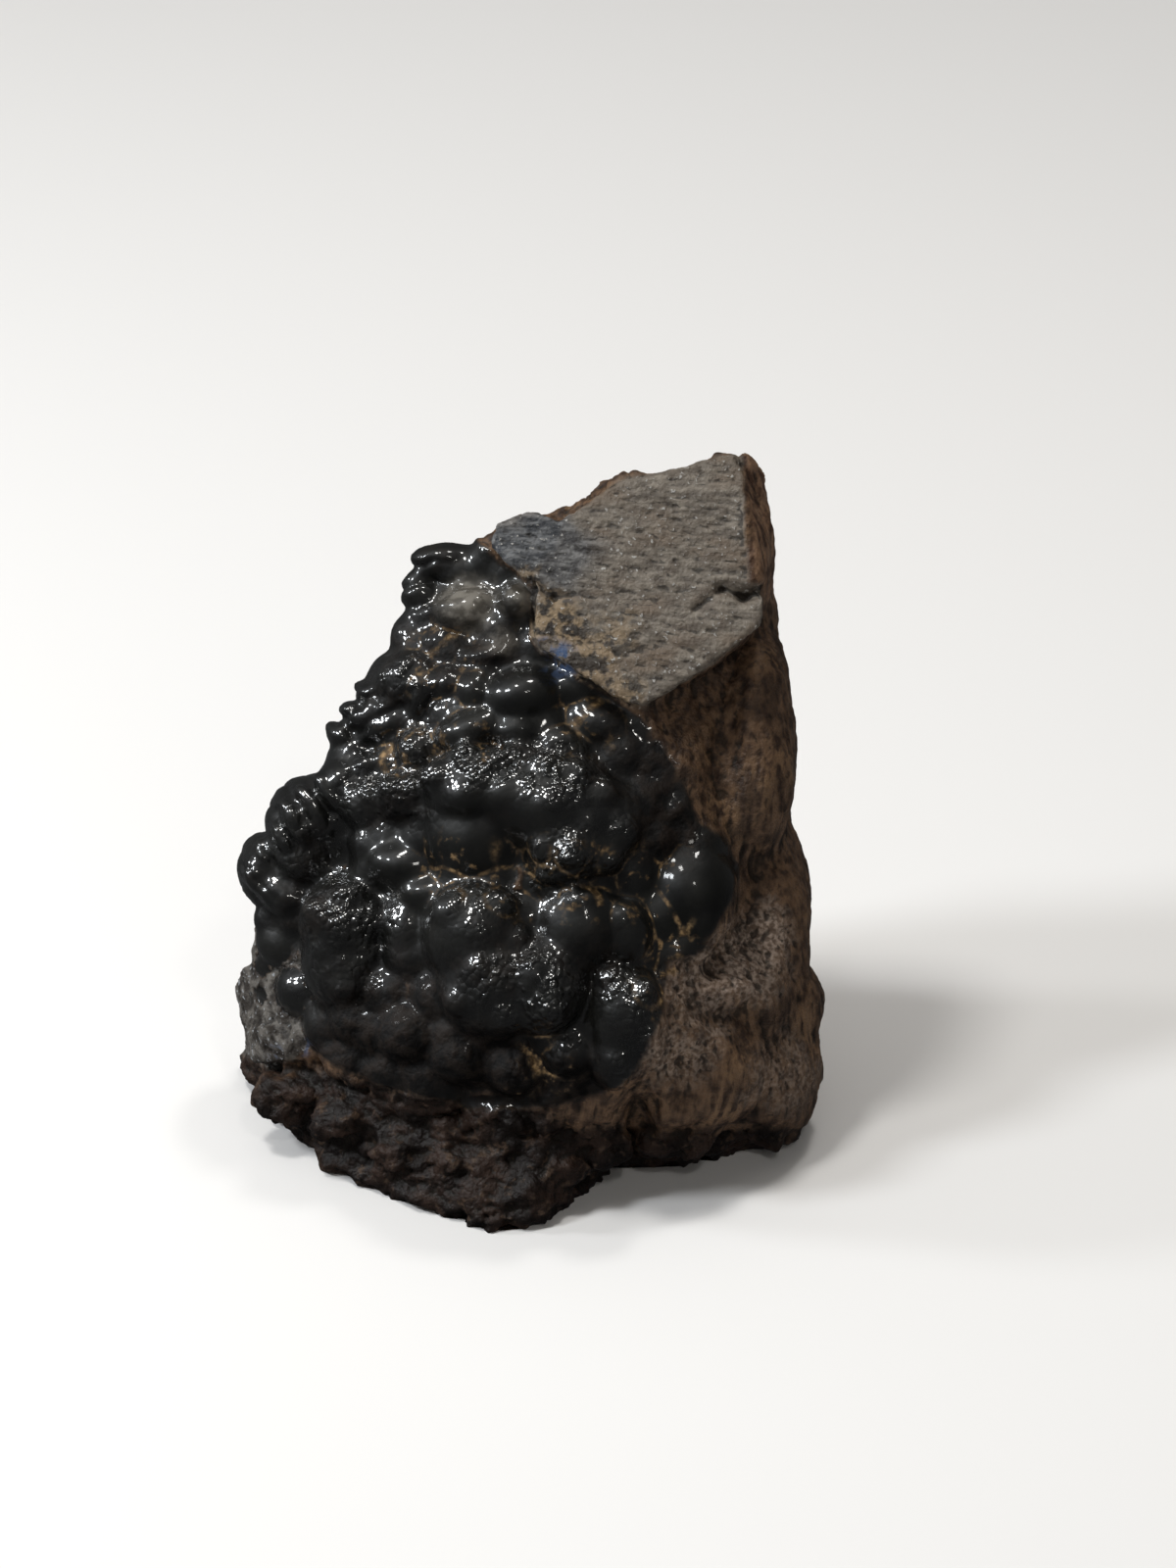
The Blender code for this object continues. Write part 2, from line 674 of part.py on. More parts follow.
def build():
    clear_scene()
    stone = bpy.data.objects.new("hematite", specimen_mesh())
    bpy.context.scene.collection.objects.link(stone)
    stone.data.materials.append(hematite_material())

    fuse = stone.modifiers.new("fuse", "REMESH")
    fuse.mode = "VOXEL"
    fuse.voxel_size = FUSE_GRAIN * MM
    fuse.use_smooth_shade = True

    soften = stone.modifiers.new("soften", "SMOOTH")
    soften.factor = 0.5
    soften.iterations = SOFTENING

    for name, size, height in ROUGHNESS:
        roughen = stone.modifiers.new(name, "DISPLACE")
        roughen.texture = bpy.data.textures.new(name, "CLOUDS")
        roughen.texture.noise_scale = size * MM
        roughen.strength = height * MM
        roughen.mid_level = 0.5

    bpy.context.view_layer.update()
    graph = bpy.context.evaluated_depsgraph_get()
    faces = len(stone.evaluated_get(graph).data.polygons)

    thin = stone.modifiers.new("thin", "DECIMATE")
    thin.ratio = TRIANGLES / (2 * faces)

    stand = stone.modifiers.new("stand", "BOOLEAN")
    stand.operation = "DIFFERENCE"
    stand.solver = "EXACT"
    stand.object = floor_cutter()


build()
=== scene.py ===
# %% [markdown]
# # A hand specimen of botryoidal hematite
# The stone is one natural lump. Glossy black lobes, like a bunch of grapes, cover its front.
# A grey broken plate stands at the top right, the right side is weathered brown, and the whole
# stands on a pitted foot. The plain solid of it is already packed as one CAD node. This
# lesson builds the same lump again at a much finer grain and gives it its finishes.

# %% Open the frame
import math
import random

import bpy
import numpy as np
from mathutils import Matrix, Vector, kdtree, noise


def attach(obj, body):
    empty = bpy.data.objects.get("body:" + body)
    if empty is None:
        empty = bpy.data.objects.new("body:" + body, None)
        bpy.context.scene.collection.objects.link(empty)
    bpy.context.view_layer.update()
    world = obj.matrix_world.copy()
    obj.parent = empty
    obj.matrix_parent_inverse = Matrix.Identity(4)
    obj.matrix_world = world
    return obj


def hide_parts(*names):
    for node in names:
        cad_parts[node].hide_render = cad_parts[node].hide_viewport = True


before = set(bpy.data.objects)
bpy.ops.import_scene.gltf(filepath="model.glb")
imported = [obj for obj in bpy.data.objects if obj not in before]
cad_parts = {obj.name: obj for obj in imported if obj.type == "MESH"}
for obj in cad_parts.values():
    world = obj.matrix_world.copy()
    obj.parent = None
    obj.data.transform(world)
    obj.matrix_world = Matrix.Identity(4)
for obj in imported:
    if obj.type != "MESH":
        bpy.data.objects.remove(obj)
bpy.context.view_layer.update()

# %% [markdown]
# ## Axes of the show side
# The side with the lobes leans back. It is easier to place things on it by how far across, how
# far up and how far out they lie, in millimetres, and to turn that into upright axes in one place.

# %% Axes of the show side
MM = 0.001
SHOW_LEAN = math.radians(30)
LEAN_SIN = math.sin(SHOW_LEAN)
LEAN_COS = math.cos(SHOW_LEAN)
SPECIMEN_SHIFT = Vector((-0.03, -3.28, 0.0))


def on_show_side(across, up, out):
    """The point in upright axes, in millimetres."""
    return Vector((across, up * LEAN_SIN - out * LEAN_COS, up * LEAN_COS + out * LEAN_SIN))


def to_show_side(points):
    """Rows of (across, up, out) for rows of upright points in millimetres."""
    across, y, z = points.T
    up = LEAN_SIN * y + LEAN_COS * z
    out = -LEAN_COS * y + LEAN_SIN * z
    return np.column_stack([across, up, out])


print("Top of the plate, upright, in mm:", on_show_side(20.7, 67.9, 22.5))

# %% [markdown]
# ## Camera, floor and light
# The stone was looked at from about 30 degrees above, square on to the lobes. Hematite has hardly
# any colour of its own: nearly all that the eye reads is reflection. So the room matters. Two
# wide panels light the stone softly, but are left out of its reflections, where they would veil
# the black. A few small lamps give the sharp sparks on the bumps. The floor is pale and plain.

# %% Camera
CAMERA_DISTANCE = 588.0
VIEW_HEIGHT = 160.0
VIEW_MIDDLE = (6.0, 34.7, 12.0)
SENSOR = 36.0

target = on_show_side(*VIEW_MIDDLE) + SPECIMEN_SHIFT
back = Vector((0.0, -LEAN_COS, LEAN_SIN))


def new_object(name, data):
    obj = bpy.data.objects.new(name, data)
    bpy.context.scene.collection.objects.link(obj)
    return obj


camera_data = bpy.data.cameras.new("camera")
camera = new_object("camera", camera_data)
camera.location = (target + CAMERA_DISTANCE * back) * MM
camera.rotation_euler = (-back).to_track_quat("-Z", "Y").to_euler()
camera_data.sensor_width = SENSOR
camera_data.lens = SENSOR * CAMERA_DISTANCE / VIEW_HEIGHT
camera_data.clip_start = 0.01
camera_data.clip_end = 20.0
bpy.context.scene.camera = camera
print("Lens in mm:", round(camera_data.lens, 1))

# %% Floor
FLOOR_SIZE = 6.0

bpy.ops.object.select_all(action="DESELECT")
bpy.ops.mesh.primitive_plane_add(size=FLOOR_SIZE, location=(0.0, 0.0, 0.0))
floor = bpy.context.object
floor.name = "floor"
floor_paint = bpy.data.materials.new("floor_paint")
floor_paint.use_nodes = True
floor_shader = floor_paint.node_tree.nodes["Principled BSDF"]
floor_shader.inputs["Base Color"].default_value = (0.80, 0.79, 0.78, 1.0)
floor_shader.inputs["Roughness"].default_value = 0.9
floor_shader.inputs["Specular IOR Level"].default_value = 0.1
floor.data.materials.append(floor_paint)
floor.visible_glossy = False
print("Floor, in m:", FLOOR_SIZE)

# %% Lamps
LAMPS_AIM = Vector((0.0, 0.0, 0.035))

# Name, place, diameter, watts, colour and whether it shows as a reflection.
LAMPS = [
    ("ceiling", (-0.15, 0.20, 0.85), 1.05, 2.2, (1.0, 0.97, 0.92), False),
    ("front_panel", (0.25, -0.85, 0.55), 0.80, 0.9, (1.0, 0.95, 0.88), False),
    ("key", (-0.18, -0.04, 0.60), 0.10, 1.35, (1.0, 0.99, 0.96), True),
    ("rear_key", (0.12, 0.18, 0.62), 0.08, 0.7, (1.0, 0.98, 0.95), True),
    ("left_key", (-0.40, -0.12, 0.42), 0.10, 1.45, (0.92, 0.96, 1.0), True),
    ("low_left_key", (-0.50, 0.06, 0.27), 0.08, 0.9, (0.94, 0.97, 1.0), True),
    ("front_spark", (0.12, -0.42, 0.52), 0.06, 0.30, (1.0, 0.97, 0.92), True),
]


def add_lamp(name, place, size, watts, colour, mirrored):
    data = bpy.data.lights.new(name, "AREA")
    data.shape = "DISK"
    data.size = size
    data.energy = watts
    data.color = colour
    lamp = new_object(name, data)
    lamp.location = place
    lamp.visible_glossy = mirrored
    lamp.rotation_euler = (LAMPS_AIM - Vector(place)).to_track_quat("-Z", "Y").to_euler()


for row in LAMPS:
    add_lamp(*row)

world = bpy.data.worlds.new("studio")
world.use_nodes = True
backdrop = world.node_tree.nodes["Background"]
backdrop.inputs["Color"].default_value = (0.95, 0.97, 1.0, 1.0)
backdrop.inputs["Strength"].default_value = 0.06
bpy.context.scene.world = world
bpy.context.scene.view_settings.view_transform = "Standard"
print("Lamps:", len(LAMPS))

# %% [markdown]
# ## The lump in blocks
# Broken rock is a set of flat faces that meet at blunt edges. A convex hull round a few corner
# points gives just that, so each mass of ore is one hull. The hulls overlap freely, because a
# voxel remesh fuses them later.

# %% Helpers for masses of rock
masses = []


def select_only(*chosen):
    bpy.ops.object.select_all(action="DESELECT")
    for obj in chosen:
        obj.select_set(True)
    bpy.context.view_layer.objects.active = chosen[0]


def apply_modifier(kind, **settings):
    """Give the active object a modifier and make its result the mesh."""
    modifier = bpy.context.object.modifiers.new(kind, kind)
    for name, value in settings.items():
        setattr(modifier, name, value)
    bpy.ops.object.modifier_apply(modifier=modifier.name)


def rock_block(name, corners):
    """A convex block of rock through its corner points, in millimetres."""
    mesh = bpy.data.meshes.new(name)
    mesh.from_pydata([corner * MM for corner in corners], [], [])
    block = new_object(name, mesh)
    select_only(block)
    bpy.ops.object.mode_set(mode="EDIT")
    bpy.ops.mesh.select_all(action="SELECT")
    bpy.ops.mesh.convex_hull()
    bpy.ops.object.mode_set(mode="OBJECT")
    masses.append(block)


print("Masses so far:", len(masses))

# %% The block of massive ore
UNDER_FLOOR = 3.0

CORE_FRONT = [
    (11.5, 41.5, 22.5), (16.5, 33.7, 22), (21, 26.7, 18.5), (15, 13.7, 21), (2, 9.7, 18),
    (-6, 14.7, 19), (-19, 18.7, 13), (-25, 18.7, 5), (-27.5, 8.7, 2), (-21, 32, 5), (-12, 44, 11),
    (-9.5, 54, 10), (-4, 57, 15), (26.5, 41, 6), (26, 33, 5), (28, 21.7, 3), (28.6, 8, 2),
    (24.9, 60, 13),
]

CORE_BACK = [
    (-25.5, 16, -UNDER_FLOOR), (-25, 17.5, 14), (-19, 24, 24), (-12, 21, 47), (-4, 19.5, 54),
    (8, 22, 58.5), (22.5, 20, 58), (26.5, 17.5, 34), (15, 26.5, 37), (3, 28, 21), (-6, 27.5, 8),
    (5, 24, -UNDER_FLOOR), (19, 24.5, 6), (27, 18, -UNDER_FLOOR), (-24, -2, -UNDER_FLOOR),
    (20, -6, -UNDER_FLOOR), (28, 4, -UNDER_FLOOR),
]

rock_block("core", [on_show_side(*p) for p in CORE_FRONT] + [Vector(p) for p in CORE_BACK])
print("Corners of the core:", len(CORE_FRONT) + len(CORE_BACK))

# %% [markdown]
# ## The bed under the lobes
# The lobes grow on a shallow dome. Each lobe is then placed by how far its crown stands above
# the dome, which keeps them all rooted.

# %% The bed
BED_TOP = (4.0, 18.0, 24.5)
BED_FALL_ACROSS = 0.0178
BED_FALL_UP = 0.0046
BED_TUCK_BELOW = 11.0
BED_TUCK = 0.045
BED_DEPTH = 9.0
BED_RINGS = 4
BED_ROOT_WIDTH = 0.8

BED_OUTLINE = [
    (-9.5, 56), (-3, 58), (3, 52), (10, 43.5), (15, 37), (18.5, 28), (18.5, 20), (16, 12),
    (14, 5.5), (9, 1.5), (2, 0.5), (-5, 1.5), (-13, 3.5), (-19, 6.5), (-22.5, 10.5), (-23.5, 16),
    (-26.5, 22), (-26.5, 27), (-23.5, 31.5), (-17, 40), (-12.5, 49),
]


def bed_height(across, up):
    """How far out the bed under the lobes stands."""
    fall_across = BED_FALL_ACROSS * (across - BED_TOP[0]) ** 2
    fall_up = BED_FALL_UP * (up - BED_TOP[1]) ** 2
    tuck = BED_TUCK * max(0.0, BED_TUCK_BELOW - up) ** 2
    return BED_TOP[2] - fall_across - fall_up - tuck


bed_points = []
for across, up in BED_OUTLINE:
    for ring in range(BED_RINGS + 1):
        share = ring / BED_RINGS
        a = BED_TOP[0] + share * (across - BED_TOP[0])
        u = BED_TOP[1] + share * (up - BED_TOP[1])
        bed_points.append(on_show_side(a, u, bed_height(a, u)))
    root_out = bed_height(across, up) - BED_DEPTH
    bed_points.append(on_show_side(BED_ROOT_WIDTH * across, up, root_out))
rock_block("bed", bed_points)
print("Points on the bed:", len(bed_points))

# %% [markdown]
# ## The broken plate
# The top right of the stone broke off flat, and the break left a plate whose edge stands a
# little proud of the lobes below it. Its face is a tilted plane, so its outline is given in
# two numbers a corner and the plane gives the third.

# %% The plate, its spur and the peak behind
PLATE_CENTRE = (12.0, 50.0, 24.5)
PLATE_RISE_ACROSS = 0.10
PLATE_RISE_UP = -0.16
PLATE_THICKNESS = 9.0
PEAK_SETBACK = 8.0

PLATE_FACE = [
    (2.6, 60.6), (9.2, 65), (15, 66.5), (20.7, 67.9), (21.7, 65.7), (21.8, 60.7), (22.5, 55.7),
    (23.8, 54.2), (23.2, 50.7), (17.5, 46.2), (13.2, 43.4), (11.5, 42.5), (10, 42.8), (6, 45.2),
    (1.5, 48.2), (0.5, 49.7), (0.8, 53.7),
]

PLATE_SPUR = [(-3.8, 58.6), (-3, 60.9), (0.5, 62.2), (3, 60.9), (5, 56), (1, 54)]

PEAK_BACK = [
    (-7, 20, 48), (4, 21.5, 55.5), (15, 20, 62), (23.4, 19, 60), (24.5, 22, 40), (0, 23, 40),
]

TOP_EDGE = [
    (21, 67.8, 21.5), (22.5, 67.3, 19.5), (24.6, 66.4, 16), (25.4, 63, 13), (25.3, 56, 13),
    (24.6, 53.5, 15), (22, 60, 22.6), (23.6, 54.5, 23), (12, 64, 10), (12, 50, 10),
]


def plate_height(across, up):
    """How far out the face of the broken plate stands."""
    return (
        PLATE_CENTRE[2]
        + PLATE_RISE_ACROSS * (across - PLATE_CENTRE[0])
        + PLATE_RISE_UP * (up - PLATE_CENTRE[1])
    )


for name, outline in (("plate", PLATE_FACE), ("spur", PLATE_SPUR)):
    lid = [on_show_side(a, u, plate_height(a, u)) for a, u in outline]
    rear = [on_show_side(a, u, plate_height(a, u) - PLATE_THICKNESS) for a, u in outline]
    rock_block(name, lid + rear)
root = [on_show_side(a, u, plate_height(a, u) - PEAK_SETBACK) for a, u in PLATE_FACE + PLATE_SPUR]
rock_block("peak", root + [Vector(p) for p in PEAK_BACK])
rock_block("top_edge", [on_show_side(*p) for p in TOP_EDGE])
print("Corners of the plate:", len(PLATE_FACE))

# %% [markdown]
# ## The foot and the chipped patch
# A pitted ledge runs along the bottom and bulges to a blunt toe. At the left a piece of the crust
# has come away, and angular grey ore shows.

# %% The foot
FOOT_EDGE = 1.3
FOOT_TAPER = 0.9

LEFT_RIM = [
    (-27, 17), (-30.4, 9.5), (-29.7, 5), (-27.4, 0.6), (-25, -2.8), (-21, -10.8), (-14, -15.4),
    (-8, -19.2), (-4.2, -21.4), (0.6, -20.8), (4.2, -17), (9, -9.2),
]

RIGHT_RIM = [
    (4, -9.4), (9.5, -8.7), (14, -9.4), (20, -8.2), (24.6, -4.2), (29.2, 1.2), (30.4, 8),
    (28.5, 17),
]

LEFT_LEDGE = [
    (-29, 10.5, 1), (-27.4, 8, 5), (-20, 4.5, 12), (-10, 0.8, 16.5), (-2, -1.5, 18.5),
    (6, -0.5, 18),
]

RIGHT_LEDGE = [(4, 2, 17), (16, 4, 17), (24, 8, 9), (30, 9, 0.5)]

for name, rim, ledge in (("left_foot", LEFT_RIM, LEFT_LEDGE), ("right_foot", RIGHT_RIM, RIGHT_LEDGE)):
    edge = [Vector((x, y, FOOT_EDGE)) for x, y in rim]
    sole = [Vector((FOOT_TAPER * x, FOOT_TAPER * y, -UNDER_FLOOR)) for x, y in rim]
    rock_block(name, edge + sole + [on_show_side(*p) for p in ledge])
print("Corners of the rim:", len(LEFT_RIM) + len(RIGHT_RIM))

# %% The chipped patch
CHIP_DEPTH = 8.0
CHIP_ROOT_WIDTH = 0.86

CHIP_BLOCKS = {
    "chip_face": [
        (-30.9, 13.2, 0), (-30, 15.4, 3.5), (-27, 17.6, 8), (-23.2, 16.6, 10.6), (-22.2, 12, 11.2),
        (-23, 8.5, 11), (-26, 6.4, 8.6), (-29.4, 7.6, 4),
    ],
    "chip_shard": [
        (-29.4, 9.6, 4.6), (-27.2, 9.8, 9.4), (-24.6, 8, 10.6), (-24.8, 5.6, 9.4), (-28.8, 6, 4.6),
    ],
    "chip_corner": [
        (-24.6, 9.6, 10.4), (-22, 10, 11.8), (-20.6, 8.2, 12), (-21.6, 6.4, 10.8),
        (-24.4, 6.6, 9.6),
    ],
    "chip_upper_edge": [(-29, 15, 4), (-28.6, 20.4, 5), (-25.6, 21, 8), (-24, 16, 9.6)],
}

for name, corners in CHIP_BLOCKS.items():
    root = [on_show_side(CHIP_ROOT_WIDTH * a, u, o - CHIP_DEPTH) for a, u, o in corners]
    rock_block(name, [on_show_side(*p) for p in corners] + root)
print("Blocks of the chipped patch:", len(CHIP_BLOCKS))

# %% [markdown]
# ## The lobes
# Each lobe is a ball of ore that grew outwards from one point until it met its neighbours, so a
# stretched sphere sunk in the bed is the true form. One sphere is made and copied, each copy
# with its own mesh. The places were read from the look of the stone, and small lobes in
# jittered rows fill the ground between.

# %% One seed sphere, and how a lobe is placed
LOBE_FINENESS = 4

crust_lobes = []


def new_seed(fineness):
    bpy.ops.object.select_all(action="DESELECT")
    bpy.ops.mesh.primitive_ico_sphere_add(subdivisions=fineness, radius=1.0)
    return bpy.context.object


def drop(obj):
    select_only(obj)
    bpy.ops.object.delete()


seed_lobe = new_seed(LOBE_FINENESS)
TIP = Matrix.Rotation(math.pi / 2 - SHOW_LEAN, 4, "X")


def lump(centre, radii, turn=0.0, crust=False):
    """A rounded lump whose axes lie across, up and out of the show side."""
    stretch = Matrix.Diagonal((*radii, 1.0))
    place = Matrix.Translation(centre) @ TIP @ Matrix.Rotation(turn, 4, "Z") @ stretch
    mesh = seed_lobe.data.copy()
    mesh.transform(Matrix.Scale(MM, 4) @ place)
    masses.append(new_object("lump", mesh))
    if crust:
        crust_lobes.append(place)


print("Triangles of one lobe:", len(seed_lobe.data.polygons))

# %% Worn bulges of the right side and knobs of the foot
SIDE_LUMPS = [
    ((23, 5.4, 5), (7.3, 8.6, 9)), ((24.4, 12, 5.5), (5.8, 6, 7.6)), ((16.5, 7, 12.5), (8, 8, 7.5)),
    ((20.5, 13, 11), (6.6, 6.6, 6.6)), ((22.6, 17, 8.4), (6, 6.6, 6.4)),
    ((17, 14, 17.3), (6, 2.4, 4)), ((24.3, 23, 4), (4.9, 10, 11)), ((22.3, 38, 12), (5, 12, 8.5)),
    ((23.2, 44, 12), (3.6, 7, 7.5)), ((1.6, 6.6, 17.6), (3.4, 2.6, 3.4)),
    ((3.4, 2.8, 17), (3, 2.6, 3.2)), ((7.4, 1.4, 16.4), (2.8, 2.2, 3)),
    ((-3, 1.2, 17), (3.6, 2.2, 3)), ((13.4, 5.6, 17.4), (2.8, 3, 3.6)),
    ((14.8, 2, 16.2), (3, 2.4, 3)), ((18.6, 8.4, 15), (3.4, 2.6, 3)),
    ((19, 15.6, 15.6), (3.2, 2.2, 2.6)),
]

FOOT_LUMPS = [
    ((-24.6, 2.6, 7), (4, 2.6, 3.4)), ((-18.6, 0.4, 11), (4, 2.4, 3)),
    ((-13, -2.6, 13.2), (3.4, 2.2, 2.8)), ((-3, -6.6, 14.4), (5.6, 2.4, 3.4)),
    ((-7.6, -3.6, 15.6), (3, 1.8, 2.6)), ((2.6, -4, 15.6), (3.2, 2.2, 2.8)),
    ((7.2, -1.8, 14.6), (3.2, 2.4, 2.8)), ((15, -1, 12.4), (4.6, 2.4, 3)),
]

for place, radii in SIDE_LUMPS + FOOT_LUMPS:
    lump(on_show_side(*place), radii)
print("Bulges and knobs:", len(SIDE_LUMPS) + len(FOOT_LUMPS))

# %% The large lobes
# Each is (across, up, half width, half height, crown above the bed), and some have a turn in
# degrees after that.
LOBE_ROOT = 0.8
LOBE_FULLNESS = 0.55

LOBES = {
    "top left": [
        (-8.4, 57.4, 3.5, 1.9, 2), (-11, 54, 2, 2.5, 1.4), (-6.2, 52.4, 3.9, 2.4, 2.6, 8),
        (-12, 49.4, 2.3, 2.8, 1), (-8.6, 49, 2.6, 2.2, 1.2), (-2.6, 50.3, 2.8, 2.5, 1.2),
        (-4.2, 57.4, 2.2, 2.4, 1.4), (-3.6, 58.6, 2.2, 1.9, 2.2), (-1.2, 53.2, 2.1, 2, 3.9),
        (-3.6, 47.7, 3.9, 1.3, 1.2, 4),
    ],
    "upper left": [
        (-14, 44.2, 2, 3.1, 3, 6), (-11.2, 44, 1.6, 3, 3.2, -4), (-15.6, 43.4, 2.7, 1.2, 2.4, -36),
        (-16.9, 41.2, 2.8, 1.2, 2.5, -34), (-18.4, 39, 3, 1.5, 2.2, -38),
        (-13.6, 40.6, 2.6, 2, 1.2), (-8.2, 44.8, 2.4, 2, 2.2), (-5.4, 44, 2.2, 2.4, 2),
        (-7.4, 42.2, 3, 2, 1.4, 20), (-0.4, 43.6, 4.2, 3, 2.8, 8), (4.4, 44.4, 3.4, 2.6, 1.2),
        (-5.6, 40.2, 4, 2.2, 2.8, 16), (-1, 40, 3, 2, 1.8), (-11.2, 38, 2.5, 2.5, 2.6),
        (-13.6, 36.8, 1.7, 1.7, 1.4), (-16.4, 36.6, 2.1, 1.6, 1.8),
    ],
    "upper right": [
        (7.4, 40.6, 3.8, 2.7, 1.4, -12), (9.4, 38, 3, 2.4, 1.1), (3, 38.8, 2.6, 1.9, 1.4),
        (12.2, 36.8, 3.2, 3.4, 0.8, 30), (11.6, 33.2, 3.4, 3, 0.8), (14.6, 32, 3.6, 2.9, 0.9, 20),
    ],
    "great dome": [
        (-4.8, 34.4, 6, 4.2, 4.6, 4), (2, 32.6, 8.6, 5.8, 4.6, -8), (7, 30.4, 5.4, 5.6, 2.8, -14),
        (4.2, 28.6, 5, 4.6, 3.8), (-4.6, 29.6, 5.8, 5.4, 3), (-8.8, 30.4, 1.8, 4.8, 2.9),
        (-3.6, 29.8, 2.2, 4, 2.6),
    ],
    "shoulder": [
        (-12.2, 33.4, 3.4, 3, 3), (-16, 32.8, 3.4, 2.8, 2.6), (-12, 26.4, 4.6, 2.9, 1.6, -8),
        (-15.6, 28.4, 2.6, 2.6, 1.2),
    ],
    "left": [
        (-22, 31, 5, 4.8, 4.4), (-19, 35.2, 2.6, 2.4, 3.8), (-22.6, 27.4, 3.8, 3.2, 4),
        (-27, 25.8, 3, 4, 4.8, 6), (-24.4, 23.2, 3, 2.6, 3.2),
    ],
    "lower": [
        (-18.6, 20.6, 4.9, 4.9, 4.8), (-18.8, 16.8, 4.4, 5.6, 4.2), (-12.2, 19.8, 2.6, 4.8, 1.4),
        (-9.6, 23.8, 3.6, 2, 1.2), (-5.2, 19.6, 5.6, 5.8, 4.6), (-3.4, 15.2, 6, 6.6, 4.4),
        (1.6, 14.6, 4.6, 5.4, 4), (5.2, 20.6, 5, 5.2, 2.9), (9.8, 19.8, 2.7, 3.6, 2.4),
        (9.8, 11.6, 4, 5.4, 4), (12, 10, 2.4, 4.6, 3.6), (9.2, 8, 3.2, 4.4, 3.2, -8),
        (16.3, 23.8, 5, 5.8, 2.5),
    ],
    "under": [
        (-17.2, 11, 3.4, 3, 1.6), (-11.8, 9.6, 3.6, 3.2, 1.8), (-6.6, 7.4, 3.4, 3, 1.8),
        (-13.8, 5.6, 3, 2.2, 1.2), (-1.4, 6.4, 3.2, 3, 1.6), (4.2, 8, 3, 3, 1.6),
        (2.6, 3.4, 2.6, 2, 1.2), (7.4, 3.6, 2.6, 2.2, 1.2), (-8.6, 3.6, 2.6, 1.8, 1),
        (-19, 7.2, 2.4, 2, 1),
    ],
}

placed = []


def height_over(lobes, across, up):
    """How far out the bed and the lobes that grow on it stand at a place."""
    highest = bed_height(across, up)
    for a, u, half_wide, half_high, half_deep, out, turn in lobes:
        da = across - a
        du = up - u
        along = (da * math.cos(turn) + du * math.sin(turn)) / half_wide
        aside = (du * math.cos(turn) - da * math.sin(turn)) / half_high
        left = 1.0 - along**2 - aside**2
        if left > 0.0:
            highest = max(highest, out + half_deep * math.sqrt(left))
    return highest


def grow(lobes, fullness, root, across, up, half_wide, half_high, crown, turn=0):
    """Set a lobe whose crown stands above the bed and the lobes under it."""
    half_deep = max(fullness * (half_wide + half_high), crown + root)
    out = height_over(lobes, across, up) + crown - half_deep
    turn = math.radians(turn)
    placed.append((across, up, half_wide, half_high, half_deep, out, turn))
    lump(on_show_side(across, up, out), (half_wide, half_high, half_deep), turn, crust=True)


for rows in LOBES.values():
    for row in rows:
        grow([], LOBE_FULLNESS, LOBE_ROOT, *row)
print("Large lobes:", len(placed))

# %% Low swells on the lobes
# Each is laid out as a lobe is. Its crown is its rise above the lobe that it is on.
SWELL_FULLNESS = 0.5

SWELLS = [
    (-8.8, 35.4, 2.2, 1.8, 0.5), (-6.2, 37.2, 1.9, 1.6, 0.6), (-3.6, 36.6, 2, 1.7, 0.5),
    (-1, 37.3, 1.9, 1.5, 0.6), (1.6, 36.2, 2.2, 1.8, 0.5), (4.4, 35.6, 2.2, 1.8, 0.5),
    (7.2, 33.6, 2, 1.8, 0.5), (-6.2, 33.4, 2.4, 2, 0.4), (-2, 33.6, 2.4, 2.2, 0.4),
    (2, 32.6, 2.6, 2.4, 0.5), (5.6, 31, 2.6, 2.4, 0.4), (9.2, 30, 2, 2.2, 0.5),
    (1.6, 28.4, 1.6, 1.8, 0.6), (4.4, 27.8, 1.9, 1.9, 0.7), (3, 25.8, 2.4, 1.3, 0.5),
    (7.6, 27.4, 2, 1.8, 0.5), (-21.2, 21.6, 1.8, 1.8, 0.4), (-18.4, 23.2, 2.2, 1.6, 0.5),
    (-15.8, 21.4, 1.7, 2, 0.4), (-20.2, 18, 2, 1.9, 0.4), (-16.6, 17.6, 1.8, 2, 0.5),
    (-18.6, 14.6, 2.2, 1.7, 0.4), (-7.4, 21.8, 2.4, 2.4, 0.3), (-3.2, 22.4, 2.2, 1.8, 0.4),
    (-1.4, 19, 2, 2.2, 0.5), (-4.8, 16.4, 2.2, 2.2, 0.4), (0.6, 15.8, 1.8, 2.2, 0.6),
    (2.4, 12.6, 1.8, 2, 0.6), (-2, 11.8, 2.2, 1.8, 0.5), (-6.6, 13.2, 2, 1.8, 0.4),
    (5, 22.8, 2.6, 1.8, 0.3), (9.4, 21, 1.8, 2, 0.4), (8.6, 15.2, 1.8, 1.5, 0.4),
    (11.4, 13.6, 1.7, 1.9, 0.5), (12.4, 9.4, 1.5, 2, 0.5), (9, 7.4, 1.8, 1.8, 0.4),
    (17.4, 21.2, 2.2, 2.6, 0.3), (-20.2, 34, 1, 2.4, 1.2, 38), (-21.8, 32.4, 1, 3, 1.3, 36),
    (-23.6, 30.9, 1, 2.9, 1.3, 30), (-25, 29.2, 0.9, 2.2, 1.1, 26),
    (-20.2, 30.6, 1.2, 1.8, 0.6, 30), (-22.2, 28.2, 1.3, 1.6, 0.5, 20), (-27, 27.4, 0.9, 2, 1, 24),
    (-28.2, 25.4, 0.9, 1.8, 1, 20), (-26.2, 23.8, 1.3, 1.4, 0.5), (-13.8, 34.2, 1.4, 1.6, 0.6),
    (-11.4, 34.4, 1.4, 1.6, 0.6), (-10.4, 32, 1.3, 1.5, 0.5), (-16, 33.8, 1.4, 1.5, 0.6),
]

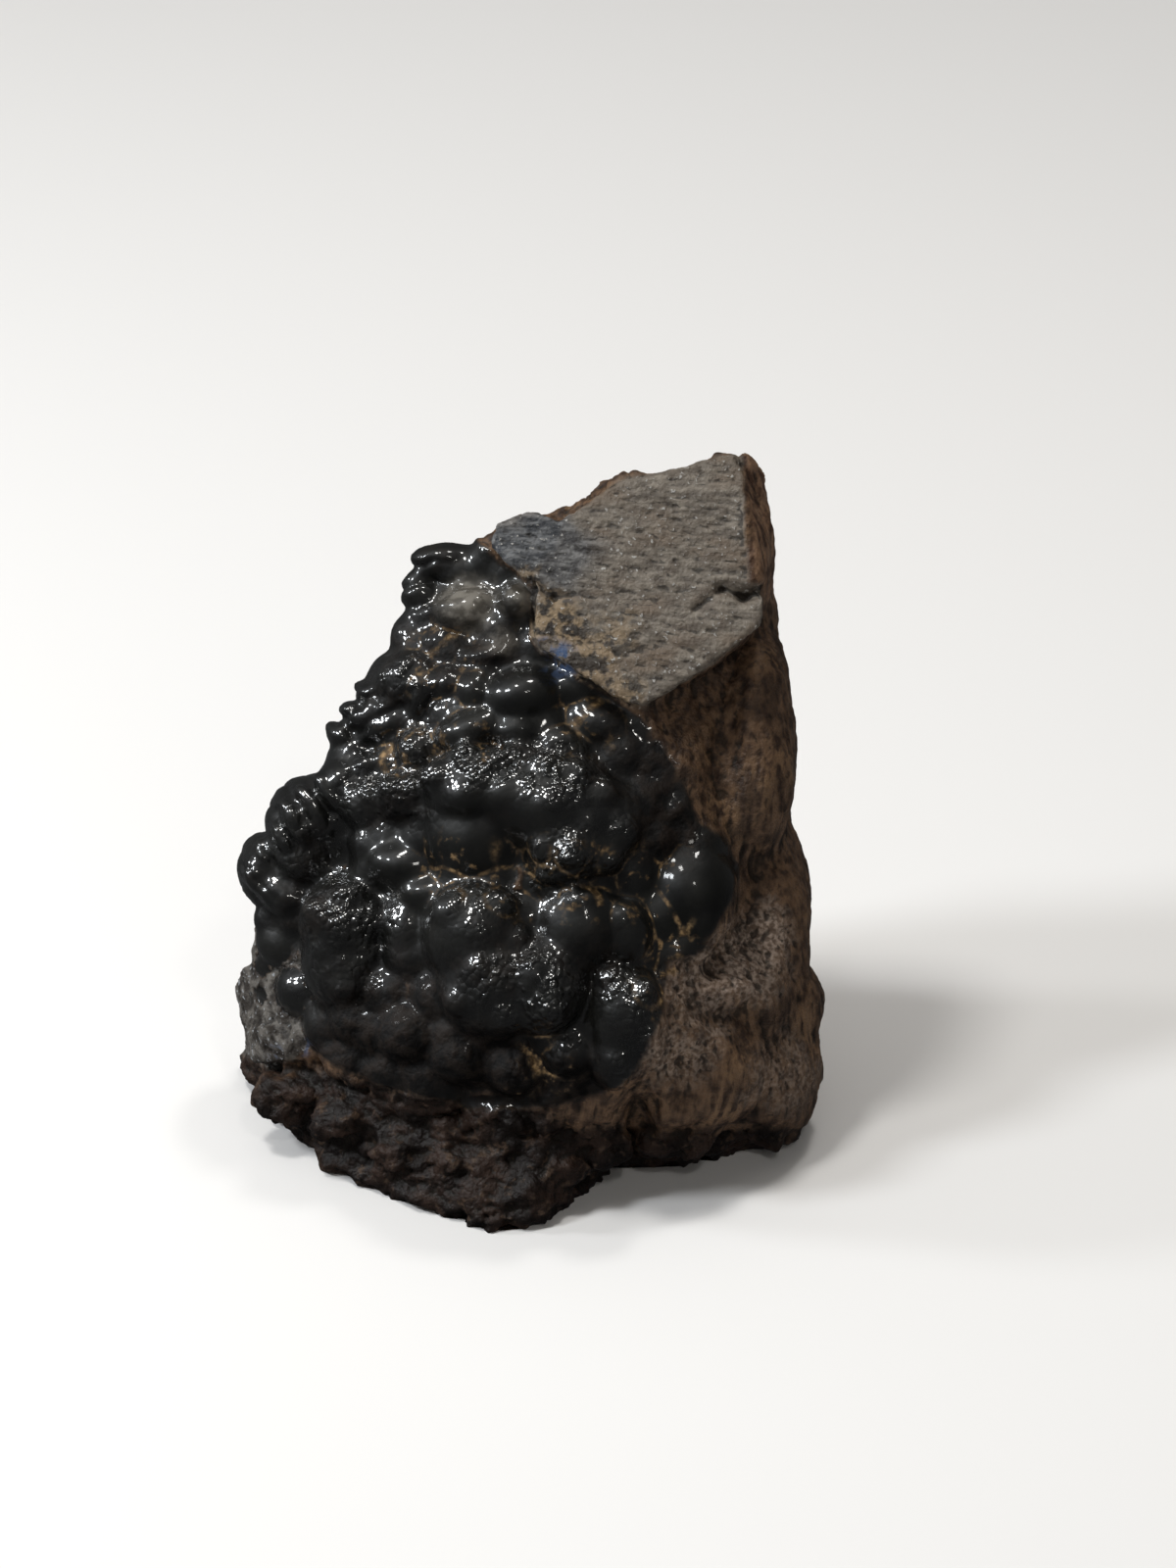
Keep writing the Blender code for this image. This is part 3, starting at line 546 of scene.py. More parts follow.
large_lobes = list(placed)
for row in SWELLS:
    grow(large_lobes, SWELL_FULLNESS, 0.0, *row)
print("Swells:", len(placed) - len(large_lobes))

# %% Small lobes on the ground between, and the crust that wraps round the left
GROUND_SEED = 3
GROUND_ACROSS = (-29.0, 20.0)
GROUND_UP = (2.5, 58.0)
GROUND_STEP = 4.4
GROUND_ROW_STEP = 3.83
GROUND_SCATTER = 0.8
GROUND_SIZES = (2.6, 3.6)
GROUND_SQUASH = (0.8, 1.15)
GROUND_CROWN = 0.8

LEFT_EDGE = [(-29, 8), (-29.2, 27), (-18.2, 41), (-13.4, 52), (-11.5, 58)]
FLANK_SEED = 11
FLANK_ROWS = 9
FLANK_FOOT = 13.0
FLANK_STEP = 4.4
FLANK_BACK = 17.0
FLANK_BACK_SCATTER = 3.0
FLANK_INSET = 0.8
FLANK_FRONT_SLOPE = 0.17
FLANK_TAPER = 0.24
FLANK_SIZES = (2.1, 3.4)
FLANK_WIDTH = 1.15
FLANK_SPACING = 1.35
FLANK_SCATTER = 1.0


def beyond(outline, show):
    """How far rows of show-side points lie outside a closed outline, negative inside it."""
    nearest = np.full(len(show), 99.0)
    crossings = np.zeros(len(show), dtype=int)
    px, py = show[:, 0], show[:, 1]
    for (x1, y1), (x2, y2) in zip(outline, outline[1:] + outline[:1]):
        dx, dy = x2 - x1, y2 - y1
        along = np.clip(((px - x1) * dx + (py - y1) * dy) / (dx * dx + dy * dy), 0.0, 1.0)
        nearest = np.minimum(nearest, np.hypot(px - x1 - along * dx, py - y1 - along * dy))
        if y1 != y2:
            spans = (y1 > py) != (y2 > py)
            crossings += spans & (px < x1 + (py - y1) * dx / dy)
    return np.where(crossings % 2 == 1, -nearest, nearest)


dice = random.Random(GROUND_SEED)
first, last = GROUND_ACROSS
lowest, highest = GROUND_UP
for row in range(int((highest - lowest) / GROUND_ROW_STEP) + 1):
    up = lowest + row * GROUND_ROW_STEP
    across = first + 0.5 * GROUND_STEP * (row % 2)
    while across < last:
        a = across + dice.uniform(-GROUND_SCATTER, GROUND_SCATTER)
        u = up + dice.uniform(-GROUND_SCATTER, GROUND_SCATTER)
        size = dice.uniform(*GROUND_SIZES)
        tall = size * dice.uniform(*GROUND_SQUASH)
        if beyond(BED_OUTLINE, np.array([(a, u)]))[0] < 0.0:
            out = bed_height(a, u) + GROUND_CROWN - size
            lump(on_show_side(a, u, out), (size, tall, size), crust=True)
        across += GROUND_STEP

dice = random.Random(FLANK_SEED)
edge_across, edge_up = zip(*LEFT_EDGE)
for row in range(FLANK_ROWS):
    height = FLANK_FOOT + row * FLANK_STEP
    back_end = FLANK_BACK + dice.uniform(-FLANK_BACK_SCATTER, FLANK_BACK_SCATTER)
    place = FLANK_FRONT_SLOPE * height
    while place < back_end:
        size = dice.uniform(*FLANK_SIZES)
        width = FLANK_WIDTH * size
        level = height + dice.uniform(-FLANK_SCATTER, FLANK_SCATTER)
        up = place * LEAN_SIN + level * LEAN_COS
        behind = place - FLANK_FRONT_SLOPE * height
        side = np.interp(up, edge_up, edge_across) + FLANK_INSET + width + FLANK_TAPER * behind
        lump(Vector((side, place, level)), (width, size, size), crust=True)
        place += FLANK_SPACING * size
drop(seed_lobe)
print("Lobes in all:", len(crust_lobes))

# %% [markdown]
# ## Fused to one skin
# Hundreds of overlapping masses have to become one closed skin. A voxel remesh does that and
# asks nothing of the meshes that go in. Its grain has to be finer than the smallest bump. Where
# lobes met as they grew, the crease between them is soft, so the crust alone is smoothed
# afterwards, through a vertex group, and the broken rock keeps its edges.

# %% Distance to the lobes
FAR_OFF = 9.0
LOBE_MARGIN = 2.0


def depth_in_lobes(points):
    """For rows of upright points in mm: the signed distance to the nearest and next lobe."""
    first = np.full(len(points), FAR_OFF)
    second = np.full(len(points), FAR_OFF)
    for place in crust_lobes:
        centre = np.array(place.translation)
        reach = max(place.to_scale()) + LOBE_MARGIN
        near = np.flatnonzero(np.abs(points - centre).max(axis=1) < reach)
        away = points[near] - centre
        local = away @ np.array(place.inverted().to_3x3()).T
        scaled = np.maximum(np.linalg.norm(local, axis=1), 1e-6)
        gap = (scaled - 1.0) / scaled * np.linalg.norm(away, axis=1)
        closer = gap < first[near]
        second[near] = np.where(closer, first[near], np.minimum(second[near], gap))
        first[near] = np.where(closer, gap, first[near])
    return first, second


def skin_points(obj):
    """The vertices in upright millimetres, and their normals."""
    mesh = obj.data
    flat = np.empty(3 * len(mesh.vertices))
    mesh.vertices.foreach_get("co", flat)
    points = flat.reshape(-1, 3) / MM
    mesh.vertex_normals.foreach_get("vector", flat)
    return points, flat.reshape(-1, 3).copy()


print("Lobes to measure from:", len(crust_lobes))

# %% Join, remesh and soften the creases
FUSE_GRAIN = 0.30
SOFT_ROUNDS = 9
SOFT_REACH = 0.8
SOFT_STEPS = 5


def fuse(parts):
    """One closed skin from overlapping meshes."""
    select_only(*parts)
    bpy.ops.object.join()
    apply_modifier("REMESH", mode="VOXEL", voxel_size=FUSE_GRAIN * MM)
    return bpy.context.object


stone = fuse(masses)
stone.name = "hematite_lump"
stone.data.name = "hematite_lump"
points, normals = skin_points(stone)
first, second = depth_in_lobes(points)
group = stone.vertex_groups.new(name="crust")
share = np.clip((1.0 - first) / SOFT_REACH, 0.0, 1.0)
for step in range(1, SOFT_STEPS + 1):
    members = np.flatnonzero((share > (step - 1) / SOFT_STEPS) & (share <= step / SOFT_STEPS))
    group.add(members.tolist(), step / SOFT_STEPS, "REPLACE")
apply_modifier("SMOOTH", factor=0.5, iterations=SOFT_ROUNDS, vertex_group="crust")
stone.vertex_groups.clear()
print("Faces of the fused skin:", len(stone.data.polygons))

# %% [markdown]
# ## Berries
# Many lobes are themselves covered with smaller bumps, a millimetre or two across, which catch
# the light one by one. They are set on the finished skin at points that keep their distance
# from each other, each a small ball sunk so that only its cap shows, and a second remesh makes
# them one with the skin. A few lobes stayed smooth.

# %% Where the crust is bumpy, as (across, up, reach, strength)
BUMPY_PLACES = [
    (-23, 27.5, 5, 0.4), (-16, 33.5, 4, 0.6), (-18.5, 20.5, 6.5, 0.6), (-18.5, 15, 5, 0.4),
    (-1.5, 14.5, 6.5, 0.7), (1.6, 13.5, 5.5, 0.9), (-5, 22.5, 4, 0.4), (-5.5, 36.9, 4.2, 0.9),
    (-0.5, 37, 4.2, 0.9), (4.5, 36, 4.2, 0.8), (-12.5, 33.8, 4.5, 0.8), (3.5, 27, 4.5, 1),
    (8.5, 28.5, 4, 0.5), (8.5, 15.4, 4, 0.5), (12.4, 13.5, 4, 0.7), (13, 7, 5, 1), (1, 7, 5, 0.5),
    (-14, 45.5, 3.5, 0.4), (-11, 38.2, 4, 0.5),
]
PLACE_STEEPNESS = 1.8


def strength_of(places, show):
    """How strongly the places (across, up, reach, strength) act on rows of show-side points."""
    best = np.zeros(len(show))
    for across, up, reach, strength in places:
        gap = np.hypot(show[:, 0] - across, show[:, 1] - up) / reach
        best = np.maximum(best, strength * np.clip(PLACE_STEEPNESS * (1.0 - gap), 0.0, 1.0))
    return best


def spread_out(points, spacing, seed):
    """Numbers of points picked in a mixed order, none nearer than spacing to another."""
    tree = kdtree.KDTree(len(points))
    for number, point in enumerate(points):
        tree.insert(point, number)
    tree.balance()
    free = np.ones(len(points), dtype=bool)
    picked = []
    for number in np.random.default_rng(seed).permutation(len(points)):
        if free[number]:
            picked.append(number)
            for _, other, _ in tree.find_range(points[number], spacing):
                free[other] = False
    return np.array(picked)


print("Bumpy places:", len(BUMPY_PLACES))

# %% Berries on the skin
BERRY_SEED = 5
BERRY_SPACING = 1.45
BERRY_SIZES = (0.9, 1.3)
BERRY_RISE = 0.24
BERRY_VARIES = (0.6, 1.0)
BERRY_FINENESS = 2
LEAST_BUMPY = 0.15

dice = random.Random(BERRY_SEED)
points, normals = skin_points(stone)
first, second = depth_in_lobes(points)
bumpy = strength_of(BUMPY_PLACES, to_show_side(points)) * (first < 1.0)
ground = np.flatnonzero(bumpy > LEAST_BUMPY)
picked = ground[spread_out(points[ground], BERRY_SPACING, BERRY_SEED)]
masses = [stone]
seed_lobe = new_seed(BERRY_FINENESS)
for number in picked:
    size = dice.uniform(*BERRY_SIZES)
    rise = BERRY_RISE * min(1.0, bumpy[number]) * dice.uniform(*BERRY_VARIES)
    lump(Vector(points[number] + normals[number] * (rise - size)), (size, size, size))
drop(seed_lobe)
stone = fuse(masses)
stone.data.transform(Matrix.Translation(SPECIMEN_SHIFT * MM))
print("Berries:", len(picked))
print("Faces of the skin with berries:", len(stone.data.polygons))

# %% [markdown]
# ## Which surface is which
# The stone has six kinds of surface: crust, grey plate, chipped patch, brown side, pitted foot
# and the plain broken back. Each point of the skin is told apart by where it lies, so that the
# carving and the finish can both follow the same map.

# %% Outlines on the show side, as (across, up)
CHIP_OUTLINE = [
    (-31.5, 16.5), (-28.5, 19.6), (-25.4, 18.6), (-23, 16.5), (-21.6, 13), (-21.4, 8), (-24, 6),
    (-28, 5.6), (-31.5, 7.6),
]
EDGE_OUTLINE = [(21.6, 68.6), (26.5, 68.6), (26.5, 53.4), (23.4, 53.4), (22.4, 60)]
# The crust ends on this outline, past which all is broken rock.
CRUST_OUTLINE = [
    (-40, 64), (-5.5, 60.8), (-3.4, 57), (-0.4, 54.6), (0.6, 49.5), (4, 46.4), (9, 42.8),
    (11.6, 41.5), (13.5, 37.9), (15.6, 34.6), (17.6, 30.9), (19.8, 28.5), (21.4, 26.5),
    (20.6, 23.1), (19.2, 20.2), (16.7, 17.7), (14, 17), (13.7, 14.1), (13.3, 11.2), (12.2, 8.7),
    (10.2, 5.4), (7.7, 3.9), (2, 2.5), (-6, 2.2), (-14, 4), (-20, 6), (-24, 9), (-40, 9),
]
FOOT_LINE = [(-33, 7.2), (-24, 5.8), (-14, 4.6), (-4, 3.2), (4, 0.6), (14, -1), (33, -1)]
print("Corners of the crust's outline:", len(CRUST_OUTLINE))

# %% Places on the show side, as (across, up, reach, strength)
# Dust-brown parts of the crust and, in the first five places, the recess under the lower lobes,
# whose near-black colour is painted shade. Then creases with ochre in them.
DUST_AND_SHADE_PLACES = [
    (-17, 8.5, 7.5, 1), (-11, 8, 7, 1), (-4, 6, 7, 1), (3, 4, 6, 1), (-12, 13, 4.6, 0.9),
    (-23, 22, 4, 0.6), (-22.5, 27.5, 3, 0.5), (-12.5, 49, 3.5, 0.5), (14.5, 30.5, 5, 1),
    (12.5, 35.5, 4.5, 0.9), (9, 39, 5, 0.5), (7, 17, 4, 0.5), (14.5, 15, 3.5, 0.8),
    (-9, 49.2, 4.2, 0.7), (-3.4, 48.6, 3.6, 0.8), (-8, 46.9, 4, 0.6),
]
OCHRE_PLACES = [
    (12.5, 26, 3.5, 1), (13, 20.5, 4.5, 1), (13.5, 14.5, 3.5, 1), (-8, 26.5, 4.5, 0.8),
    (-1, 25.4, 5, 0.8), (6, 24.8, 5, 0.8), (-13.6, 38.2, 3.2, 1), (-9, 40, 3, 0.6),
    (-4, 39.3, 2.6, 1), (6, 41.5, 4.5, 0.7), (-8.6, 47.2, 4.6, 0.8), (1.5, 6.5, 4, 1),
    (-7.8, 42.8, 2.4, 0.8),
]
# Parts of the broken faces that differ in colour.
SCRATCHED_PLACES = [(-1, 58.5, 5.5, 1), (3, 57.5, 5, 0.8), (1.5, 54.5, 4, 0.7)]
MOTTLED_PLACES = [
    (3, 50.5, 4.8, 1), (6, 47.5, 4.8, 0.9), (9.5, 44.5, 3.4, 0.8), (-0.5, 55, 2.5, 0.7),
]
GREYISH_PLACES = [(22.5, 17, 5.5, 1), (17.5, 14.5, 5, 0.8), (15, 8, 5, 0.7), (26, 5, 5, 0.5)]
# Smooth lobes with a soft sheen instead of sparks.
SATIN_PLACES = [
    (16.3, 23.8, 7, 1), (5.5, 21.5, 5.5, 0.8), (-12, 26.4, 5, 0.9), (-8, 21.5, 3.5, 0.5),
    (-5, 42, 5, 0.4), (-6.5, 52.4, 3.4, 0.9), (-4.6, 29.4, 6, 0.8), (0, 43, 6.5, 0.7),
    (5, 41, 5, 0.7), (-9.5, 55.5, 5, 0.5),
]
PALE_PLACES = [(-6.3, 52.8, 3.6, 1), (-1, 53.4, 2.4, 0.8), (-2.6, 49, 2, 0.5)]
# Painted glints: blue spots at the plate's edge, on a faceted block and on the chipped patch.
BLUE_GLINT_PLACES = [
    (3.4, 47, 2.2, 1), (1.6, 48.4, 1.4, 0.7), (-3.6, 58.2, 1.4, 0.8), (-26, 7.2, 1.2, 0.6),
    (-22.8, 7.8, 1, 0.6),
]
print("Dull places:", len(DUST_AND_SHADE_PLACES))

# %% Soft edges and noise
def fade(values, start, end):
    """0 at start, 1 at end, eased in between."""
    share = np.clip((values - start) / (end - start), 0.0, 1.0)
    return share * share * (3.0 - 2.0 * share)


def noise_at(points, stretch, octaves):
    """Smooth noise between about -1 and 1, one value a point, with its waves per millimetre."""
    return np.array([noise.fractal(p, 1.0, 2.0, octaves) for p in points * np.array(stretch)])


print("Half way through a fade:", fade(0.5, 0.0, 1.0))

# %% The map of surfaces
CRUST_BACK = (17.5, 20.5)
FRONT_COLOUR_BACK = (6.0, 12.0)
CREASE_WIDTH = 0.35


def zones_of(points):
    """The map of surfaces: a dictionary of name to strength at each point."""
    show = to_show_side(points)
    across, up, out = show.T
    wander = noise_at(points, 0.22, 4)
    first, second = depth_in_lobes(points)

    def past(outline, ragged, start, end):
        """0 inside the outline, 1 past it, with an edge as ragged as asked."""
        return fade(beyond(outline, show) + ragged * wander, start, end)

    def near(places, ragged):
        return strength_of(places, show + ragged * wander[:, None])

    above_plate = out - plate_height(across, up)
    plate = (1.0 - past(PLATE_FACE, 0.0, 0.2, 0.9)) * fade(above_plate, -4.0, -2.6)
    spur = (1.0 - past(PLATE_SPUR, 0.0, 0.0, 0.8)) * fade(above_plate, -2.4, -1.2)
    plate = np.maximum(plate, spur)
    plate *= 1.0 - fade(across + 0.5 * wander, 21.3, 21.9) * fade(up, 54.2, 55.2)
    crust = 1.0 - fade(first, 0.45, 0.95)
    crust *= 1.0 - fade(plate, 0.2, 0.6)
    crust *= 1.0 - fade(points[:, 1], *CRUST_BACK)
    crust *= 1.0 - past(CRUST_OUTLINE, 0.6, -0.2, 0.4)
    chip = (1.0 - past(CHIP_OUTLINE, 1.2, -0.3, 0.5)) * (first > 0.2)
    crust = crust * (1.0 - chip)
    line = np.interp(across, *zip(*FOOT_LINE))
    foot = (1.0 - fade(up - line + 2.0 * wander, -0.8, 1.4)) * (1.0 - crust) * (1.0 - chip)
    in_front = 1.0 - fade(points[:, 1], *FRONT_COLOUR_BACK)
    return {
        "crust": crust,
        "plate": plate,
        "chip": chip,
        "foot": foot,
        "edge": (1.0 - past(EDGE_OUTLINE, 0.8, -0.3, 0.5)) * (1.0 - plate),
        "crease": np.exp(-np.maximum(second - first, 0.0) / CREASE_WIDTH) * crust,
        "bumpy": near(BUMPY_PLACES, 0.0) * crust,
        "dust_and_shade": near(DUST_AND_SHADE_PLACES, 1.5) * crust,
        "satin": near(SATIN_PLACES, 0.0),
        "blue": in_front * near(BLUE_GLINT_PLACES, 0.6),
        "pale": near(PALE_PLACES, 0.8),
        "scratched": near(SCRATCHED_PLACES, 2.0),
        "mottled": near(MOTTLED_PLACES, 2.0),
        "greyish": in_front * near(GREYISH_PLACES, 2.0),
        "ochre": near(OCHRE_PLACES, 1.5),
    }


shift = np.array(SPECIMEN_SHIFT)
points, normals = skin_points(stone)
points -= shift
zones = zones_of(points)
print({name: round(float(strength.mean()), 3) for name, strength in zones.items()})

# %% [markdown]
# ## Carving the broken faces
# The plate broke across fibres that run nearly level, so its face is a stack of low steps and
# fine ridges. The right side weathered along fibres that run down it, and its bulges wore
# together, which smoothing does. The back broke in steps, the foot is pitted, and a few lobes
# have ribs. All these are points pushed along their normals, by noise or by rows of ridges.

# %% Wear down the side
SIDE_WEAR_ROUNDS = 40


def smoothed(obj, values, rounds):
    """Rows of values on the vertices, each blended with its neighbours' mean, many times over."""
    edges = np.empty(2 * len(obj.data.edges), dtype=int)
    obj.data.edges.foreach_get("vertices", edges)
    start, end = edges.reshape(-1, 2).T
    counts = np.maximum(np.bincount(edges, minlength=len(values)), 1)
    for _ in range(rounds):
        total = [
            np.bincount(start, column[end], len(values))
            + np.bincount(end, column[start], len(values))
            for column in values.T
        ]
        values = 0.5 * values + 0.5 * np.column_stack(total) / counts[:, None]
    return values


rock = 1.0 - zones["crust"]
side = rock * (1.0 - zones["plate"]) * (1.0 - zones["foot"]) * (1.0 - zones["chip"])
points += side[:, None] * (smoothed(stone, points, SIDE_WEAR_ROUNDS) - points)
print("Share of the skin that is worn side:", round(float(side.mean()), 3))

# %% Cracks and ribs
# Cracks and ledges of the plate: from (across, up) to (across, up), width and depth.
PLATE_CRACKS = [
    (0.3, 55, 2.6, 53.4, 0.5, 0.7), (2.6, 53.4, 4.4, 53.8, 0.4, 0.4),
    (19.2, 54.4, 21.6, 53.6, 0.5, 0.9), (21.4, 53.5, 24, 54.4, 0.7, 1.3),
    (16.6, 52.2, 19.4, 54.2, 0.35, 0.4), (9, 47.6, 13.2, 48.6, 0.5, 0.2),
]
# Ribs of the crust: (across, up, reach, height, run in degrees, spacing).
RIBS = [
    (-22.8, 30.8, 6.2, 0.50, -62, 2.3), (-27.4, 25.4, 4.4, 0.45, -50, 2),
    (-16.6, 41.2, 5.2, 0.45, 32, 2), (-11.6, 44.6, 3.8, 0.40, 80, 2.6),
    (-10.8, 55.4, 4.6, 0.45, 12, 1.9),
]

print("Cracks and ribbed lobes:", len(PLATE_CRACKS), len(RIBS))

# %% Noise for each kind of break
PLATE_STEPS_IN_NOISE = 3.5
BACK_STEPS_IN_NOISE = 4.0
PIT_CELLS = 0.22
FIBRE_TILT = 0.12

across, up, out = to_show_side(points).T
fibre_axes = np.column_stack([across, up + FIBRE_TILT * across, out])
level_fibres = noise_at(fibre_axes, (0.34, 1.30, 0.6), 5)
hackles = noise_at(fibre_axes, (0.75, 2.2, 1.2), 3)
steps = noise_at(fibre_axes, (0.13, 0.34, 0.1), 3)
steps = np.round(steps * PLATE_STEPS_IN_NOISE) / PLATE_STEPS_IN_NOISE
down_fibres = noise_at(points, (0.85, 0.85, 0.10), 4)
swell = noise_at(points, 0.12, 2)
lumpy = noise_at(points, (0.34, 0.34, 0.40), 4)
rough = noise_at(points, 0.6, 4)
pit_places = points * PIT_CELLS + 0.5 * lumpy[:, None]
pits = 1.0 - fade(np.array([noise.voronoi(p)[0][0] for p in pit_places]), 0.05, 0.45)
fractures = noise_at(points, (0.11, 0.11, 0.07), 3) * BACK_STEPS_IN_NOISE
fractures = (np.floor(fractures) + fade(fractures % 1.0, 0.3, 0.7)) / BACK_STEPS_IN_NOISE
print("Mean of the pit noise:", round(float(pits.mean()), 3))

# %% Push the skin in and out
# Heights and depths in millimetres.
PLATE_RIDGES = 0.13
PLATE_STEPS = 0.22
HACKLE_SHARE = 0.7
RIB_WANDER = 0.40
RIB_MEAN = 0.6
BACK_STEPS = 1.6
BACK_FROM = (12.0, 18.0)
BACK_LUMPS = 0.25
SIDE_RIDGES = 0.24
SIDE_SWELL = 0.6
SIDE_GRAIN = 0.10
GREYISH_LUMPS = 0.35
FOOT_SWELL = 0.9
FOOT_GRAIN = 0.35
FOOT_PITS = 0.8
CHIP_STEPS = 0.25
CHIP_STEPS_IN_NOISE = 4.0
CRUST_SWELL = 0.25

push = zones["plate"] * (PLATE_RIDGES * (level_fibres + HACKLE_SHARE * hackles) + PLATE_STEPS * steps)
for a1, u1, a2, u2, width, depth in PLATE_CRACKS:
    share = ((across - a1) * (a2 - a1) + (up - u1) * (u2 - u1)) / ((a2 - a1) ** 2 + (u2 - u1) ** 2)
    share = np.clip(share, 0.0, 1.0)
    gap = np.hypot(across - a1 - share * (a2 - a1), up - u1 - share * (u2 - u1))
    push -= zones["plate"] * depth * np.exp(-((gap / width) ** 2))
for a1, u1, reach, height, run, spacing in RIBS:
    turn = math.radians(run + 90.0)
    rows_crossed = (across * math.cos(turn) + up * math.sin(turn)) / spacing + RIB_WANDER * lumpy
    ribbed = np.abs(np.cos(math.pi * rows_crossed))
    here = strength_of([(a1, u1, reach, 1.0)], np.column_stack([across, up]))
    push += zones["crust"] * here * height * (ribbed - RIB_MEAN)
behind = fade(points[:, 1], *BACK_FROM)
push += side * (BACK_STEPS * behind * fractures + BACK_LUMPS * behind * lumpy)
push += side * (SIDE_RIDGES * down_fibres + SIDE_SWELL * swell + SIDE_GRAIN * rough)
push += side * zones["greyish"] * (GREYISH_LUMPS * rough + GREYISH_LUMPS * lumpy)
push += zones["foot"] * (FOOT_GRAIN * rough + FOOT_SWELL * lumpy - FOOT_PITS * pits)
push += zones["chip"] * (CHIP_STEPS * np.round(rough * CHIP_STEPS_IN_NOISE) / CHIP_STEPS_IN_NOISE)
push += zones["crust"] * (CRUST_SWELL * swell)
moved = points + normals * push[:, None] + shift
stone.data.vertices.foreach_set("co", (moved * MM).ravel())
stone.data.update()
print("Pushed by, in mm:", round(float(push.min()), 2), "to", round(float(push.max()), 2))

# %% [markdown]
# ## A flat underside and a lighter mesh
# The stone stands on a broken face, made flat by cutting away all that lies under the floor.
# Then collapse decimation thins the mesh where it is nearly flat and leaves the bumps alone.

# %% Cut and thin
MOST_TRIANGLES = 190000

select_only(stone)
bpy.ops.object.mode_set(mode="EDIT")
bpy.ops.mesh.select_all(action="SELECT")
bpy.ops.mesh.bisect(plane_co=(0, 0, 0), plane_no=(0, 0, 1), clear_inner=True, use_fill=True)
bpy.ops.mesh.select_all(action="SELECT")
bpy.ops.mesh.quads_convert_to_tris()
bpy.ops.object.mode_set(mode="OBJECT")
apply_modifier("DECIMATE", ratio=min(1.0, MOST_TRIANGLES / len(stone.data.polygons)))
bpy.ops.object.shade_smooth()
for vertex in stone.data.vertices:
    vertex.co.z = max(vertex.co.z, 0.0)
print("Triangles:", len(stone.data.polygons))

# %% [markdown]
# ## The map, kept on the skin
# The finish needs the map of surfaces again, on the thinned skin, and one thing more: which
# points lie in a nook, where shade is painted into the rock's colour. Smoothing a copy of the
# points and seeing which way each one moved tells nooks from crowns.

# %% Store the map as attributes
NOOK_ROUNDS = 4
DEEPEST_NOOK = 0.08

points, normals = skin_points(stone)
points -= shift
zones = zones_of(points)
rise = ((smoothed(stone, points, NOOK_ROUNDS) - points) * normals).sum(axis=1)
zones["nook"] = np.clip(rise / DEEPEST_NOOK, -1.0, 1.0) * 0.5 + 0.5
for name, strength in zones.items():
    layer = stone.data.attributes.new(name, "FLOAT", "POINT")
    layer.data.foreach_set("value", np.ascontiguousarray(strength, dtype=np.float32))
print("Attributes:", ", ".join(zones))

# %% [markdown]
# ## The finish
# One skin, one material, with the attributes mixing its parts. Real hematite is nearly black,
# yet it mirrors about a seventh of the light that falls on it. A metallic shader with a dark
# colour would do that too, but it lays one even sheen on everything. A rough black base under
# a clear coat does better here: the base stays dark, and the coat, whose normal carries fine
# berries, breaks each lamp into sparks. The coat is thin on the satin lobes and gone where the
# crust is dust-covered and in the recess under the lower lobes, whose near black is painted
# shade. The broken faces are matte ore with tan and rusty streaks that follow the fibres.

# %% Node helpers
finish = bpy.data.materials.new("hematite_ore")
finish.use_nodes = True
nodes = finish.node_tree.nodes
links = finish.node_tree.links
shader = nodes["Principled BSDF"]
place = nodes.new("ShaderNodeTexCoord").outputs["Object"]


def feed(node, inputs):
    """Gives each named input of a node a link, a colour as a tuple, a list or a number."""
    for name, value in inputs.items():
        if isinstance(value, bpy.types.NodeSocket):
            links.new(value, node.inputs[name])
        elif isinstance(value, tuple):
            node.inputs[name].default_value = (*value, 1.0)
        else:
            node.inputs[name].default_value = value


def new_node(kind, inputs, **settings):
    node = nodes.new("ShaderNode" + kind)
    for name, value in settings.items():
        setattr(node, name, value)
    feed(node, inputs)
    return node


def calc(operation, a, b, clamp=False):
    return new_node("Math", {0: a, 1: b}, operation=operation, use_clamp=clamp).outputs[0]


def times(a, b):
    return calc("MULTIPLY", a, b)


def plus(a, b):
    return calc("ADD", a, b)


def minus(a, b, clamp=False):
    return calc("SUBTRACT", a, b, clamp)


def blend(share, a, b, kind="RGBA"):
    """Colour a where share is 0, b where it is 1."""
    return new_node("Mix", {"Factor": share, "A": a, "B": b}, data_type=kind).outputs["Result"]


def level(share, a, b):
    """Number a where share is 0, b where it is 1."""
    return blend(share, a, b, "FLOAT")


def between(value, low, high):
    """0 below low, 1 above high, eased."""
    limits = {"Value": value, "From Min": low, "From Max": high}
    return new_node("MapRange", limits, interpolation_type="SMOOTHSTEP").outputs["Result"]


print("Shader:", shader.name)

# %% Patterns in the ore
def stored(name):
    """An attribute of the skin: how strongly it is this surface."""
    return new_node("Attribute", {}, attribute_name=name).outputs["Fac"]


def grain(size, stretch=(1.0, 1.0, 1.0), turn=(0.0, 0.0, 0.0), detail=4.0):
    """Noise whose features are about size millimetres, stretched along its axes."""
    layout = {"Vector": place, "Rotation": list(turn), "Scale": [size * MM * s for s in stretch]}
    laid_out = new_node("Mapping", layout, vector_type="TEXTURE").outputs["Vector"]
    inputs = {"Vector": laid_out, "Scale": 1.0, "Detail": detail}
    return new_node("TexNoise", inputs).outputs["Fac"]


def cells(size):
    """Distance to the middle of cells about size millimetres across."""
    inputs = {"Vector": place, "Scale": 1.0 / (size * MM)}
    return new_node("TexVoronoi", inputs).outputs["Distance"]


